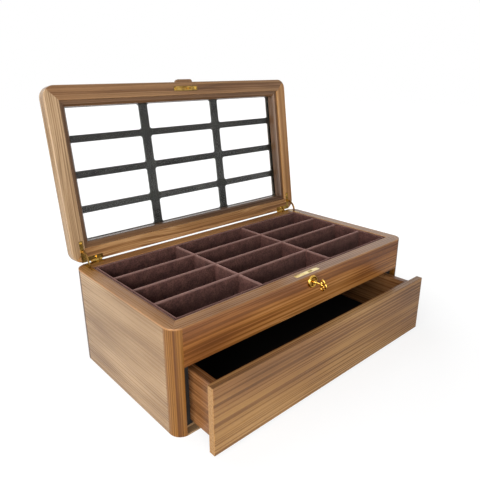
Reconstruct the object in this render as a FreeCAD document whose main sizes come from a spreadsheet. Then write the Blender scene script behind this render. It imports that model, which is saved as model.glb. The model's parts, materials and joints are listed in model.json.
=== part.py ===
import FreeCAD, Part
import os

import Sketcher

# A walnut box for glasses: a lined tray of twelve compartments under a glazed lid, and a
# drawer below it. Front is -Y, the long side runs along X, and the origin is under the middle
# of the case, on the surface it stands on. It is drawn as it is used on show, with the lid
# open on its stop and the drawer part way out.

DOCUMENT = FreeCAD.newDocument("glasses_box")
SHEET = DOCUMENT.addObject("Spreadsheet::Sheet", "sizes")
CLOSE = 1e-4


# Sizes

class Size:
    """A length or an angle: the formula that the document keeps, and its present value."""

    def __init__(self, formula, value):
        self.formula = formula
        self.value = value

    def joined(self, sign, other, value):
        return Size(f"({self.formula} {sign} {as_size(other).formula})", value)

    def __add__(self, other):
        return self.joined("+", other, self.value + as_size(other).value)

    def __sub__(self, other):
        return self.joined("-", other, self.value - as_size(other).value)

    def __mul__(self, other):
        return self.joined("*", other, self.value * as_size(other).value)

    def __truediv__(self, other):
        return self.joined("/", other, self.value / as_size(other).value)

    def __radd__(self, other):
        return as_size(other) + self

    def __rsub__(self, other):
        return as_size(other) - self

    def __neg__(self):
        return 0 - self


def as_size(number):
    return number if isinstance(number, Size) else Size(repr(number), number)


def cosine(angle):
    return Size(f"cos({angle.formula})", FreeCAD.Units.Quantity(f"cos({angle.value})").Value)


def sine(angle):
    return Size(f"sin({angle.formula})", FreeCAD.Units.Quantity(f"sin({angle.value})").Value)


def size(alias, value):
    """Write one driving size in the next row of the sheet."""
    size.row += 1
    SHEET.set(f"A{size.row}", alias)
    SHEET.set(f"B{size.row}", str(value))
    SHEET.setAlias(f"B{size.row}", alias)
    return Size(f"sizes.{alias}", value)


size.row = 0

# The case, outside
case_width = size("case_width", 520)
case_depth = size("case_depth", 280)
case_height = size("case_height", 163.8)
corner_radius = size("corner_radius", 18.4)
arris = size("arris", 0.8)
fine_arris = size("fine_arris", 0.5)
side_wall = size("side_wall", 20.6)
fascia_backing = size("fascia_backing", 2)
rear_wall = size("rear_wall", 22)
rim_thickness = size("rim_thickness", 2.4)
post_face = size("post_face", 16)
post_return = size("post_return", 20)
bottom_thickness = size("bottom_thickness", 6)
lip_thickness = size("lip_thickness", 2.5)

# The bay behind the drawer front, and the shelf over it
bay_height = size("bay_height", 106)
shelf_drop = size("shelf_drop", 4)
shelf_thickness = size("shelf_thickness", 6)

# The drawer
front_gap_side = size("front_gap_side", 1.5)
front_gap_top = size("front_gap_top", 1.5)
front_gap_bottom = size("front_gap_bottom", 1)
front_thickness = size("front_thickness", 10.5)
drawer_board = size("drawer_board", 11)
drawer_inset = size("drawer_inset", 11.5)
room_below_drawer = size("room_below_drawer", 7)
room_above_drawer = size("room_above_drawer", 6)
room_behind_drawer = size("room_behind_drawer", 24.9)
drawer_groove_rise = size("drawer_groove_rise", 3)
drawer_bottom_thickness = size("drawer_bottom_thickness", 4)
drawer_groove = size("drawer_groove", 5)
cloth = size("cloth", 1.5)
drawer_out = size("drawer_out", 56.2)

# The boards that the drawer runs in
running_gap = size("running_gap", 0.4)
ledge_reach = size("ledge_reach", 6)

# The lining and the tray
lining = size("lining", 2.3)
tray_gap = size("tray_gap", 1)
tray_wall = size("tray_wall", 3.2)
cloth_round = size("cloth_round", 1.2)
tray_floor_thickness = size("tray_floor_thickness", 3.6)
tray_below_rim = size("tray_below_rim", 0.8)
divider = size("divider", 6)
divider_drop = size("divider_drop", 0.4)
divider_round = size("divider_round", 2.2)
lap_gap = size("lap_gap", 0.1)
groove_gap = size("groove_gap", 0.1)

# The lid
lid_angle = size("lid_angle", 97.6)
lid_gap = size("lid_gap", 0.4)
lid_thickness = size("lid_thickness", 32)
lid_round = size("lid_round", 16)
lid_arris = size("lid_arris", 2)
rail_width = size("rail_width", 23)
bead_width = size("bead_width", 9.3)
bead_recess = size("bead_recess", 4.5)
bead_chamfer = size("bead_chamfer", 3)
glass_depth = size("glass_depth", 20.7)
glass_thickness = size("glass_thickness", 4)
mask_thickness = size("mask_thickness", 4)
glass_gap = size("glass_gap", 0.4)
mask_bar = size("mask_bar", 16)
mask_rung = size("mask_rung", 11.8)
window_end_margin = size("window_end_margin", 2.1)
window_side_margin = size("window_side_margin", 0.4)
middle_window_extra = size("middle_window_extra", 4.9)
inner_window_extra = size("inner_window_extra", 2.4)
window_radius = size("window_radius", 4.5)
tab_width = size("tab_width", 36)
tab_proud = size("tab_proud", 4.8)
tab_inlay = size("tab_inlay", 8)
tab_thickness = size("tab_thickness", 5)
tab_depth = size("tab_depth", 3)

# The hinges and their quadrant stays
axis_behind = size("axis_behind", 0.9)
axis_above = size("axis_above", 1)
knuckle_radius = size("knuckle_radius", 3.5)
knuckle_room = size("knuckle_room", 0.3)
pin_radius = size("pin_radius", 1.5)
pin_gap = size("pin_gap", 0.05)
barrel_from_end = size("barrel_from_end", 48)
barrel_length = size("barrel_length", 18)
knuckle_gap = size("knuckle_gap", 0.3)
leaf_thickness = size("leaf_thickness", 1.8)
leaf_margin = size("leaf_margin", 3)
leaf_arm = size("leaf_arm", 6.2)
leaf_arm_inset = size("leaf_arm_inset", 0.5)
leaf_arm_length = size("leaf_arm_length", 36)
leaf_back = size("leaf_back", 8)
recess_gap = size("recess_gap", 0.15)
stay_radius = size("stay_radius", 20)
stay_width = size("stay_width", 4)
stay_thickness = size("stay_thickness", 1.5)
stay_gap = size("stay_gap", 0.35)
stay_angle = size("stay_angle", 117.6)
mortise_angle = size("mortise_angle", 63)

# Countersunk screws
screw_head = size("screw_head", 2.2)
screw_shank = size("screw_shank", 1.1)
screw_length = size("screw_length", 10)
screw_gap = size("screw_gap", 0.05)
screw_from_tip = size("screw_from_tip", 4)
screw_from_barrel = size("screw_from_barrel", 2.6)

# The lock, its key and the strike
lock_setback = size("lock_setback", 11.5)
plate_length = size("plate_length", 54)
plate_width = size("plate_width", 8.5)
plate_corner = size("plate_corner", 1.6)
lock_length = size("lock_length", 44)
lock_thickness = size("lock_thickness", 11)
lock_depth = size("lock_depth", 30)
lock_wall = size("lock_wall", 1.6)
key_drop = size("key_drop", 11.3)
slot_centre = size("slot_centre", 8.5)
slot_length = size("slot_length", 9)
slot_width = size("slot_width", 2.6)
hook_length = size("hook_length", 7)
hook_thickness = size("hook_thickness", 1.8)
hook_reach = size("hook_reach", 8.7)
notch_rise = size("notch_rise", 1.8)
bolt_height = size("bolt_height", 3)
bolt_thickness = size("bolt_thickness", 2.2)
bolt_length = size("bolt_length", 18)
bolt_throw = size("bolt_throw", 4)
bolt_clearance = size("bolt_clearance", 0.3)
talon_width = size("talon_width", 2)
talon_thickness = size("talon_thickness", 1.8)
key_shank = size("key_shank", 1.9)
key_bore = size("key_bore", 1.25)
drill_pin = size("drill_pin", 1.2)
key_bit_reach = size("key_bit_reach", 7)
key_bit_width = size("key_bit_width", 2.4)
key_bit_depth = size("key_bit_depth", 1.6)
key_clearance = size("key_clearance", 0.4)
key_collar = size("key_collar", 3.1)
key_collar_length = size("key_collar_length", 1.6)
key_neck = size("key_neck", 2.5)
key_neck_length = size("key_neck_length", 2.4)
key_bow_out = size("key_bow_out", 21.5)
key_lobe = size("key_lobe", 3.4)
key_lobe_section = size("key_lobe_section", 1.25)
key_lobe_centre = size("key_lobe_centre", 5)
key_lobe_out = size("key_lobe_out", 3.2)
key_lobe_back = size("key_lobe_back", 0.8)
escutcheon_radius = size("escutcheon_radius", 10.3)
escutcheon_base = size("escutcheon_base", 1.4)
escutcheon_ring = size("escutcheon_ring", 1.9)
strike_length = size("strike_length", 52)
strike_width = size("strike_width", 8.2)
strike_thickness = size("strike_thickness", 2)
strike_screw = size("strike_screw", 21.7)

# The push latch behind the drawer
latch_width = size("latch_width", 16)
latch_height = size("latch_height", 12)
latch_rise = size("latch_rise", 40)
latch_gap = size("latch_gap", 0.3)
plunger_radius = size("plunger_radius", 3)
plunger_gap = size("plunger_gap", 0.08)
plunger_length = size("plunger_length", 17)
plunger_proud = size("plunger_proud", 5)
plunger_travel = size("plunger_travel", 2.5)


# Places worked out from the sizes

half_width = case_width / 2
front = -case_depth / 2
rear = case_depth / 2
inside_x = half_width - side_wall
front_wall = post_return + fascia_backing
inside_front = front + front_wall
inside_rear = rear - rear_wall
bay_half = half_width - post_face
rim_bottom = case_height - rim_thickness
shelf_bottom = bay_height - shelf_drop
shelf_top = shelf_bottom + shelf_thickness

door_back = front + front_thickness
drawer_half = bay_half - front_gap_side - drawer_inset
drawer_front_end = door_back
drawer_rear_end = inside_rear - room_behind_drawer
drawer_box_bottom = bottom_thickness + room_below_drawer
drawer_box_top = shelf_bottom - room_above_drawer
groove_bottom = drawer_box_bottom + drawer_groove_rise
groove_top = groove_bottom + drawer_bottom_thickness

tray_x = inside_x - lining - tray_gap
tray_front = inside_front + lining + tray_gap
tray_rear = inside_rear - lining - tray_gap
tray_bottom = shelf_top + running_gap
tray_top = case_height - tray_below_rim
tray_floor_top = tray_bottom + tray_floor_thickness
divider_top = tray_top - divider_drop
divider_middle = (tray_floor_top + divider_top) / 2

lid_bottom = case_height + lid_gap
lid_top = lid_bottom + lid_thickness
glass_bottom = lid_bottom + glass_depth
mask_bottom = glass_bottom + glass_thickness
mask_top = mask_bottom + mask_thickness
rail_x = half_width - rail_width
rail_y = rear - rail_width
sight_x = rail_x - bead_width
sight_y = rail_y - bead_width

# The tray is divided where the mask's bars are: three windows along, four across
window_end = sight_x - window_end_margin
window_side = sight_y - window_side_margin
end_window = (window_end * 2 - mask_bar * 2 - middle_window_extra) / 3
outer_window = (window_side * 2 - mask_rung * 3 - inner_window_extra * 2) / 4
column_pitch = end_window + middle_window_extra + mask_bar
row_pitch = outer_window + inner_window_extra + mask_rung

axis_y = rear + axis_behind
axis_z = case_height + axis_above
barrel_start = half_width - barrel_from_end
leaf_start = barrel_start - leaf_margin
arm_inner = inside_x + leaf_arm_inset
arm_outer = arm_inner + leaf_arm
stay_x = (arm_inner + arm_outer) / 2

lock_y = front + lock_setback
key_z = case_height - key_drop
plate_bottom = rim_bottom
notch_bottom = lid_bottom - hook_reach + notch_rise
notch_top = notch_bottom + bolt_height + bolt_clearance * 2
hook_start = slot_centre - hook_length / 2
bolt_y = lock_y - bolt_thickness / 2
talon_back = bolt_y
talon_front = talon_back - talon_thickness


# Tools of the trade: each helper makes one object of the document

def bind(item, **formulas):
    """Tie plain properties, such as Length or Radius, to their formulas."""
    for name, amount in formulas.items():
        item.setExpression(name, as_size(amount).formula)


def place(item, x=None, y=None, z=None):
    """Tie an object's place to formulas, leaving out the directions that stay at zero."""
    for letter, amount in (("x", x), ("y", y), ("z", z)):
        if amount is not None:
            item.setExpression(f"Placement.Base.{letter}", as_size(amount).formula)


def block(name, x, y, z):
    """A rectangular block between two limits on each axis."""
    item = DOCUMENT.addObject("Part::Box", name)
    bind(item, Length=as_size(x[1]) - x[0], Width=as_size(y[1]) - y[0], Height=as_size(z[1]) - z[0])
    place(item, x[0], y[0], z[0])
    return item


TURN = {
    "x": FreeCAD.Rotation(FreeCAD.Vector(0, 1, 0), 90),
    "y": FreeCAD.Rotation(FreeCAD.Vector(1, 0, 0), -90),
    "z": FreeCAD.Rotation(),
}


def rod(name, along, start, end, centre, radius, end_radius=None):
    """A round rod, or a cone, along one axis; centre is its place on the other two."""
    kind = "Part::Cylinder" if end_radius is None else "Part::Cone"
    item = DOCUMENT.addObject(kind, name)
    item.Placement = FreeCAD.Placement(FreeCAD.Vector(), TURN[along])
    bind(item, Height=as_size(end) - start)
    if end_radius is None:
        bind(item, Radius=radius)
    else:
        bind(item, Radius1=radius, Radius2=end_radius)
    middle = {"x": (start, *centre), "y": (centre[0], start, centre[1]), "z": (*centre, start)}
    place(item, *middle[along])
    return item


def ring(name, along, centre, radius, section):
    """A torus about one axis; centre is its place on all three."""
    item = DOCUMENT.addObject("Part::Torus", name)
    item.Placement = FreeCAD.Placement(FreeCAD.Vector(), TURN[along])
    bind(item, Radius1=radius, Radius2=section)
    place(item, *centre)
    return item


def cut(name, base, *tools):
    """Take the tools away from the base."""
    item = DOCUMENT.addObject("Part::Cut", name)
    item.Base = base
    item.Tool = tools[0] if len(tools) == 1 else group(f"{name}_tools", *tools)
    return item


def fuse(name, *items):
    item = DOCUMENT.addObject("Part::MultiFuse", name)
    item.Shapes = list(items)
    item.Refine = True
    return item


def common(name, base, tool):
    item = DOCUMENT.addObject("Part::Common", name)
    item.Base = base
    item.Tool = tool
    return item


def group(name, *items):
    """Keep several separate solids together."""
    item = DOCUMENT.addObject("Part::Compound", name)
    item.Links = list(items)
    return item


def mirrored(name, item):
    """The same piece on the other side of the middle plane."""
    other = DOCUMENT.addObject("Part::Mirroring", name)
    other.Source = item
    other.Normal = FreeCAD.Vector(1, 0, 0)
    return other


def sketch(body, plane, outlines, level):
    """Draw closed outlines on one of the body's own planes, each corner tied to its sizes."""
    drawing = body.newObject("Sketcher::SketchObject", f"{body.Name}_outline")
    support = next(item for item in body.Origin.OriginFeatures if item.Role == plane)
    drawing.AttachmentSupport = [(support, "")]
    drawing.MapMode = "FlatFace"
    drawing.setExpression("AttachmentOffset.Base.z", as_size(level).formula)
    for corners in outlines:
        corners = [(as_size(across), as_size(up)) for across, up in corners]
        first = drawing.GeometryCount
        points = [FreeCAD.Vector(across.value, up.value, 0) for across, up in corners]
        for start, end in zip(points, points[1:] + points[:1]):
            drawing.addGeometry(Part.LineSegment(start, end))
        for number, corner in enumerate(corners):
            line = first + number
            before = first + (number - 1) % len(corners)
            drawing.addConstraint(Sketcher.Constraint("Coincident", before, 2, line, 1))
            for kind, amount in zip(("DistanceX", "DistanceY"), corner):
                limit = Sketcher.Constraint(kind, -1, 1, line, 1, float(amount.value))
                index = drawing.addConstraint(limit)
                drawing.setExpression(f"Constraints[{index}]", amount.formula)
    return drawing


def prism(name, plane, outlines, start, end):
    """A body padded from outlines on a plane, between two levels along the plane's normal."""
    body = DOCUMENT.addObject("PartDesign::Body", name)
    drawing = sketch(body, plane, outlines, start)
    pad = body.newObject("PartDesign::Pad", f"{name}_pad")
    pad.Profile = drawing
    bind(pad, Length=as_size(end) - start)
    DOCUMENT.recompute()
    return body


def pocket(body, plane, outlines, level, depth):
    """Cut outlines into a body, downwards from a level."""
    before = body.Shape.Volume
    drawing = sketch(body, plane, outlines, level)
    hollow = body.newObject("PartDesign::Pocket", f"{body.Name}_pocket")
    hollow.Profile = drawing
    bind(hollow, Length=depth)
    DOCUMENT.recompute()
    if body.Shape.Volume > before - CLOSE:
        raise ValueError(f"the pocket in {body.Name} takes nothing away")
    return body


def soften(body, kind, test, amount):
    """Round or bevel the edges of a body that pass the test."""
    tip = body.Tip
    edges = [f"Edge{number}" for number, edge in enumerate(tip.Shape.Edges, 1) if test(edge)]
    feature = body.newObject(f"PartDesign::{kind}", f"{body.Name}_{kind.lower()}")
    feature.Base = (tip, edges)
    bind(feature, **{"Radius" if kind == "Fillet" else "Size": amount})
    DOCUMENT.recompute()
    return body


def upright(edge):
    return edge.BoundBox.XLength < CLOSE and edge.BoundBox.YLength < CLOSE


def at_level(amount):
    """A test for edges that lie in one horizontal plane."""
    level = amount.value
    return lambda edge: abs(edge.BoundBox.ZMin - level) < CLOSE > abs(edge.BoundBox.ZMax - level)


def on_rectangle(outline, amount):
    """A test for edges along the sides of an upright rectangle, at one level."""
    level = at_level(amount)
    limits = [[number.value for number in pair_of_limits] for pair_of_limits in outline]

    def along_a_side(edge):
        box = edge.BoundBox
        spans = (box.XMin, box.XMax), (box.YMin, box.YMax)
        return level(edge) and any(
            high - low < CLOSE and any(abs(low - limit) < CLOSE for limit in ends)
            for (low, high), ends in zip(spans, limits))

    return along_a_side


def rectangle(x, y):
    return [(x[0], y[0]), (x[1], y[0]), (x[1], y[1]), (x[0], y[1])]


def mitred(name, side, outer, inner, bottom, top):
    """One side of a mitred frame; outer and inner are rectangles given as ((x, x), (y, y))."""
    (left, right), (near, far) = outer
    (in_left, in_right), (in_near, in_far) = inner
    corners = {
        "front": [(left, near), (right, near), (in_right, in_near), (in_left, in_near)],
        "right": [(right, near), (right, far), (in_right, in_far), (in_right, in_near)],
        "rear": [(right, far), (left, far), (in_left, in_far), (in_right, in_far)],
        "left": [(left, far), (left, near), (in_left, in_near), (in_left, in_far)],
    }
    return prism(name, "XY_Plane", [corners[side]], bottom, top)


def capsule(name, centre, length, width, bottom, top):
    """An upright plate with round ends, its length along X."""
    reach = (length - width) / 2
    return fuse(
        name,
        block(f"{name}_middle", (centre[0] - reach, centre[0] + reach),
              (centre[1] - width / 2, centre[1] + width / 2), (bottom, top)),
        rod(f"{name}_left_end", "z", bottom, top, (centre[0] - reach, centre[1]), width / 2),
        rod(f"{name}_right_end", "z", bottom, top, (centre[0] + reach, centre[1]), width / 2),
    )


def round_cornered(name, centre, length, width, corner, bottom, top):
    """An upright plate with small round corners, its length along X."""
    outline = rectangle((centre[0] - length / 2, centre[0] + length / 2),
                        (centre[1] - width / 2, centre[1] + width / 2))
    return soften(prism(name, "XY_Plane", [outline], bottom, top), "Fillet", upright, corner)


NODES = {}


def node(label, item):
    """Name a finished sub-part; the label is also the name of its file."""
    item.Label = label
    NODES[label] = item
    return item


def both_sides(label, item):
    """A right-hand piece and its mirror image."""
    node(f"{label}_right", item)
    node(f"{label}_left", mirrored(f"{label}_mirrored", item))


# Shapes that cut the rounded outside and the hardware's seats

CASE_OUTSIDE = (-half_width, half_width), (front, rear)
CASE_INSIDE = (-inside_x, inside_x), (inside_front, inside_rear)
LID_INSIDE = (-rail_x, rail_x), (-rail_y, rail_y)
SIGHT = (-sight_x, sight_x), (-sight_y, sight_y)


def case_envelope():
    """The outside of the case, with its round corners and its softened top edge."""
    body = prism("case_envelope", "XY_Plane", [rectangle(*CASE_OUTSIDE)], 0, case_height)
    soften(body, "Fillet", upright, corner_radius)
    return soften(body, "Fillet", at_level(case_height), arris)


def lid_envelope():
    """The outside of the lid: round corners, a deep round on top and a small arris below."""
    body = prism("lid_envelope", "XY_Plane", [rectangle(*CASE_OUTSIDE)], lid_bottom, lid_top)
    soften(body, "Fillet", upright, corner_radius)
    soften(body, "Fillet", at_level(lid_top), lid_round)
    return soften(body, "Fillet", at_level(lid_bottom), lid_arris)


def leaf_outline(name, gap, bottom, top):
    """The L of a right-hand hinge leaf, or of its seat when a gap is given."""
    return fuse(
        name,
        block(f"{name}_back", (leaf_start - gap, arm_outer + gap), (rear - leaf_back - gap, rear),
              (bottom, top)),
        block(f"{name}_arm", (arm_inner - gap, arm_outer + gap), (rear - leaf_arm_length - gap, rear),
              (bottom, top)),
    )


def barrel_room(name, gap):
    """The round clearance about a right-hand hinge barrel."""
    return rod(name, "x", barrel_start - gap, barrel_start + barrel_length + gap,
               (axis_y, axis_z), knuckle_radius + gap)


def quadrant(name, gap, first_angle, sweep):
    """A flat arc about the hinge axis, its angles counted up from the front."""
    thickness = stay_thickness + gap * 2
    outer = DOCUMENT.addObject("Part::Cylinder", f"{name}_disc")
    # The cylinder's own X points to the front and its own Y points up.
    lie = FreeCAD.Rotation(FreeCAD.Vector(0, -1, 0), FreeCAD.Vector(0, 0, 1),
                           FreeCAD.Vector(-1, 0, 0), "ZXY")
    spin = FreeCAD.Rotation(FreeCAD.Vector(-1, 0, 0), as_size(first_angle).value)
    outer.Placement = FreeCAD.Placement(FreeCAD.Vector(), spin * lie)
    bind(outer, Radius=stay_radius + stay_width / 2 + gap, Height=thickness, Angle=sweep)
    place(outer, stay_x + thickness / 2, axis_y, axis_z)
    inner = rod(f"{name}_hole", "x", stay_x - thickness, stay_x + thickness, (axis_y, axis_z),
                stay_radius - stay_width / 2 - gap)
    return cut(name, outer, inner)


def pair(name, item):
    """A right-hand cutter with its mirror image."""
    return group(name, item, mirrored(f"{name}_other", item))


def screw(name, x, y, head_level, down, gap=0):
    """A countersunk screw, or the hole for it; down is 1 for a screw driven downwards."""
    sink = screw_head - screw_shank
    head_end = as_size(head_level) - sink * down
    point = as_size(head_level) - screw_length * down
    shank = screw_shank + gap
    if down > 0:
        cone = rod(f"{name}_head", "z", head_end, head_level, (x, y), shank, screw_head + gap)
        stem = rod(f"{name}_stem", "z", point, head_end, (x, y), shank)
    else:
        cone = rod(f"{name}_head", "z", head_level, head_end, (x, y), screw_head + gap, shank)
        stem = rod(f"{name}_stem", "z", head_end, point, (x, y), shank)
    return fuse(name, cone, stem)


ARM_SCREW = (stay_x, rear - leaf_arm_length + screw_from_tip)
BACK_SCREW = (barrel_start + barrel_length / 2, rear - leaf_back + screw_from_barrel)


def hinge_screws(name, head_level, down, gap=0):
    """The four screws that hold one pair of leaves."""
    screws = []
    for place_name, (x, y) in (("arm", ARM_SCREW), ("back", BACK_SCREW)):
        right = screw(f"{name}_{place_name}", x, y, head_level, down, gap)
        screws += [right, mirrored(f"{name}_{place_name}_left", right)]
    return screws


# The case

def case_boards():
    """Bottom, side and back panels, the fascia, the corner posts and the mitred rim."""
    envelope = case_envelope()
    barrels = pair("case_barrel_room", barrel_room("case_barrel", knuckle_room))
    mortises = pair("case_stay_mortises", quadrant("case_mortise", stay_gap, -mortise_angle, mortise_angle))
    leaves = pair("case_leaf_seats", leaf_outline("case_leaf_seat", recess_gap,
                                                  case_height - leaf_thickness, case_height))
    pilots = group("case_pilots", *hinge_screws("case_pilot", case_height, 1, screw_gap))
    case_cutters = [barrels, mortises, leaves, pilots]

    bottom = fuse(
        "bottom_board_whole",
        block("bottom_field", (-inside_x, inside_x), (front + post_return, inside_rear),
              (0, bottom_thickness)),
        block("bottom_tongue", (-bay_half, bay_half), (front, front + post_return),
              (0, bottom_thickness)),
    )
    under_front = block("bottom_rebate", (-half_width, half_width), (front, door_back + running_gap),
                        (lip_thickness, bottom_thickness))
    node("bottom_board", cut("bottom_board", bottom, under_front))

    side = block("side_board", (inside_x, half_width), (front + post_return, rear - post_return),
                 (0, rim_bottom))
    both_sides("side_panel", cut("side_panel", side, *case_cutters))
    back = block("back_board", (-inside_x, inside_x), (inside_rear, rear), (0, rim_bottom))
    node("back_panel", cut("back_panel", back, *case_cutters))

    front_post = block("front_post_square", (bay_half, half_width), (front, front + post_return),
                       (0, rim_bottom))
    both_sides("corner_post_front", common("corner_post_front", front_post, envelope))
    rear_post = block("rear_post_square", (inside_x, half_width), (rear - post_return, rear),
                      (0, rim_bottom))
    rear_round = common("rear_post_round", rear_post, envelope)
    both_sides("corner_post_rear", cut("corner_post_rear", rear_round, *case_cutters))

    lock_seat = lock_seat_tools()
    face = prism("fascia_face", "XY_Plane", [rectangle((-bay_half, bay_half), (front, front + post_return))],
                 bay_height, rim_bottom)
    soften(face, "Fillet", on_rectangle(CASE_OUTSIDE, bay_height), fine_arris)
    fascia = fuse(
        "fascia_whole",
        face,
        block("fascia_backing", (-inside_x, inside_x), (front + post_return, inside_front),
              (bay_height, rim_bottom)),
    )
    node("front_fascia", cut("front_fascia", fascia, *lock_seat))

    rim_cutters = {"front": lock_seat, "rear": case_cutters, "left": case_cutters,
                   "right": case_cutters}
    for side_name, cutters in rim_cutters.items():
        strip = mitred(f"rim_{side_name}_strip", side_name, CASE_OUTSIDE, CASE_INSIDE,
                       rim_bottom, case_height)
        soften(strip, "Fillet", on_rectangle(CASE_INSIDE, case_height), arris)
        rounded = common(f"rim_{side_name}_rounded", strip, envelope)
        node(f"rim_{side_name}", cut(f"rim_{side_name}", rounded, *cutters))


def lining_and_shelf():
    """The shelf between tray and drawer bay, and the cloth round the tray's walls."""
    node("tray_shelf", block("tray_shelf", (-inside_x, inside_x), (inside_front, inside_rear),
                             (shelf_bottom, shelf_top)))
    inside = (-inside_x + lining, inside_x - lining), (inside_front + lining, inside_rear - lining)
    walls = prism("lining_walls", "XY_Plane", [rectangle(*CASE_INSIDE)], shelf_top, tray_top)
    pocket(walls, "XY_Plane", [rectangle(*inside)], tray_top, tray_top - shelf_top)
    node("case_lining", soften(walls, "Fillet", on_rectangle(inside, tray_top), cloth_round))


def drawer_guides():
    """Boards that fill the bay beside the drawer, carry it on a ledge and stop its front."""
    slot = drawer_half + running_gap
    stop_back = front + post_return - running_gap
    guide = fuse(
        "drawer_guide_right",
        block("guide_board", (slot, inside_x), (door_back, inside_rear), (bottom_thickness, shelf_bottom)),
        block("guide_ledge", (drawer_half - drawer_board - ledge_reach, inside_x),
              (door_back + running_gap, inside_rear), (bottom_thickness, drawer_box_bottom - running_gap)),
        block("guide_stop", (inside_x, bay_half), (door_back, stop_back), (bottom_thickness, shelf_bottom)),
    )
    both_sides("drawer_guide", guide)


# The tray

def tray():
    """Floor, mitred walls and crossed dividers, all covered in velvet."""
    outer = (-tray_x, tray_x), (tray_front, tray_rear)
    inner = ((-tray_x + tray_wall, tray_x - tray_wall),
             (tray_front + tray_wall, tray_rear - tray_wall))
    for side_name in ("front", "rear", "left", "right"):
        wall = mitred(f"tray_wall_{side_name}", side_name, outer, inner, tray_bottom, tray_top)
        for outline in (outer, inner):
            soften(wall, "Fillet", on_rectangle(outline, tray_top), cloth_round)
        node(f"tray_wall_{side_name}", wall)
    node("tray_floor", block("tray_floor", *inner, (tray_bottom, tray_floor_top)))

    half = divider / 2
    long_boards = []
    cross_boards = []
    columns = [-column_pitch / 2, column_pitch / 2]
    rows = [-row_pitch, as_size(0), row_pitch]
    for number, row in enumerate(rows, 1):
        long_boards.append(divider_board(f"long_board_{number}", inner[0], (row - half, row + half)))
    for number, column in enumerate(columns, 1):
        cross_boards.append(divider_board(f"cross_board_{number}", (column - half, column + half), inner[1]))
    notch = half + lap_gap
    laps_above = [
        block(f"lap_above_{number}", (column - notch, column + notch), inner[1],
              (divider_middle, divider_top))
        for number, column in enumerate(columns, 1)]
    laps_below = [
        block(f"lap_below_{number}", inner[0], (row - notch, row + notch),
              (tray_floor_top, divider_middle + lap_gap))
        for number, row in enumerate(rows, 1)]
    node("long_dividers", cut("long_dividers", group("long_boards", *long_boards), *laps_above))
    node("cross_dividers", cut("cross_dividers", group("cross_boards", *cross_boards), *laps_below))


def divider_board(name, x, y):
    """One board of the dividers, its top edge rounded under the cloth."""
    body = prism(name, "XY_Plane", [rectangle(x, y)], tray_floor_top, divider_top)
    runs_along_x = x[1].value - x[0].value > y[1].value - y[0].value
    level = at_level(divider_top)

    def long_top_edge(edge):
        run = edge.BoundBox.XLength if runs_along_x else edge.BoundBox.YLength
        return level(edge) and run > divider.value + CLOSE

    return soften(body, "Fillet", long_top_edge, divider_round)


# The drawer

def drawer():
    """A walnut box on a false front, drawn shut and then pulled out."""
    sides_outer = (-drawer_half, drawer_half)
    inner_x = drawer_half - drawer_board
    box_height = (drawer_box_bottom, drawer_box_top)
    near = drawer_front_end + drawer_board
    far = drawer_rear_end - drawer_board
    panel_half = inner_x + drawer_groove - groove_gap
    groove = block("drawer_groove_room", (-inner_x - drawer_groove, inner_x + drawer_groove),
                   (near - drawer_groove, far + drawer_groove), (groove_bottom, groove_top))

    face = prism("drawer_face", "XY_Plane",
                 [rectangle((-bay_half + front_gap_side, bay_half - front_gap_side), (front, door_back))],
                 lip_thickness + front_gap_bottom, bay_height - front_gap_top)
    soften(face, "Fillet", lambda edge: edge.BoundBox.YMax < front.value + CLOSE, arris)
    side = drawer_wall("drawer_side_board", (inner_x, drawer_half), (near, far), box_height)
    inner_front = drawer_wall("drawer_inner_board", sides_outer, (drawer_front_end, near), box_height)
    back = drawer_wall("drawer_back_board", sides_outer, (far, drawer_rear_end), box_height)
    side_right = cut("drawer_side_grooved", side, groove)
    side_left = mirrored("drawer_side_mirrored", side_right)
    bottom = block("drawer_panel", (-panel_half, panel_half),
                   (near - drawer_groove + groove_gap, far + drawer_groove - groove_gap),
                   (groove_bottom, groove_top))
    velvet = block("drawer_velvet", (-inner_x, inner_x), (near, far), (groove_top, groove_top + cloth))
    pieces = {
        "drawer_front": face,
        "drawer_inner_front": cut("drawer_inner_grooved", inner_front, groove),
        "drawer_side_right": side_right,
        "drawer_side_left": side_left,
        "drawer_back": cut("drawer_back_grooved", back, groove),
        "drawer_bottom": bottom,
        "drawer_lining": velvet,
    }
    for label, piece in pieces.items():
        pulled = group(f"{label}_pulled", piece)
        place(pulled, y=-drawer_out)
        node(label, pulled)


def drawer_wall(name, x, y, z):
    """One board of the drawer box, with an arris along its top edges."""
    body = prism(name, "XY_Plane", [rectangle(x, y)], *z)
    outline = [[as_size(number) for number in limits] for limits in (x, y)]
    lengthwise = x[1].value - x[0].value > y[1].value - y[0].value
    long_sides = ([], outline[1]) if lengthwise else (outline[0], [])
    return soften(body, "Fillet", on_rectangle(long_sides, z[1]), fine_arris)


def push_latch():
    """A sprung plunger in a housing on the back panel, just behind the closed drawer."""
    tip = drawer_rear_end + latch_gap
    housing_front = tip + plunger_proud
    middle = latch_rise + latch_height / 2
    housing = block("latch_block", (-latch_width / 2, latch_width / 2), (housing_front, inside_rear),
                    (latch_rise, latch_rise + latch_height))
    bore = rod("latch_bore", "y", housing_front, tip + plunger_length + plunger_travel + latch_gap,
               (0, middle), plunger_radius + plunger_gap)
    node("latch_housing", cut("latch_housing", housing, bore))
    node("latch_plunger", rod("latch_plunger", "y", tip, tip + plunger_length, (0, middle),
                              plunger_radius))


# The lock

def keyhole(name, start, end, gap):
    """A round hole with a slot below it, through a plate across Y."""
    half_slot = key_bit_width / 2 + gap
    return fuse(
        name,
        rod(f"{name}_round", "y", start, end, (0, key_z), key_shank + gap),
        block(f"{name}_slot", (-half_slot, half_slot), (start, end),
              (key_z - key_bit_reach - gap, key_z)),
    )


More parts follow.
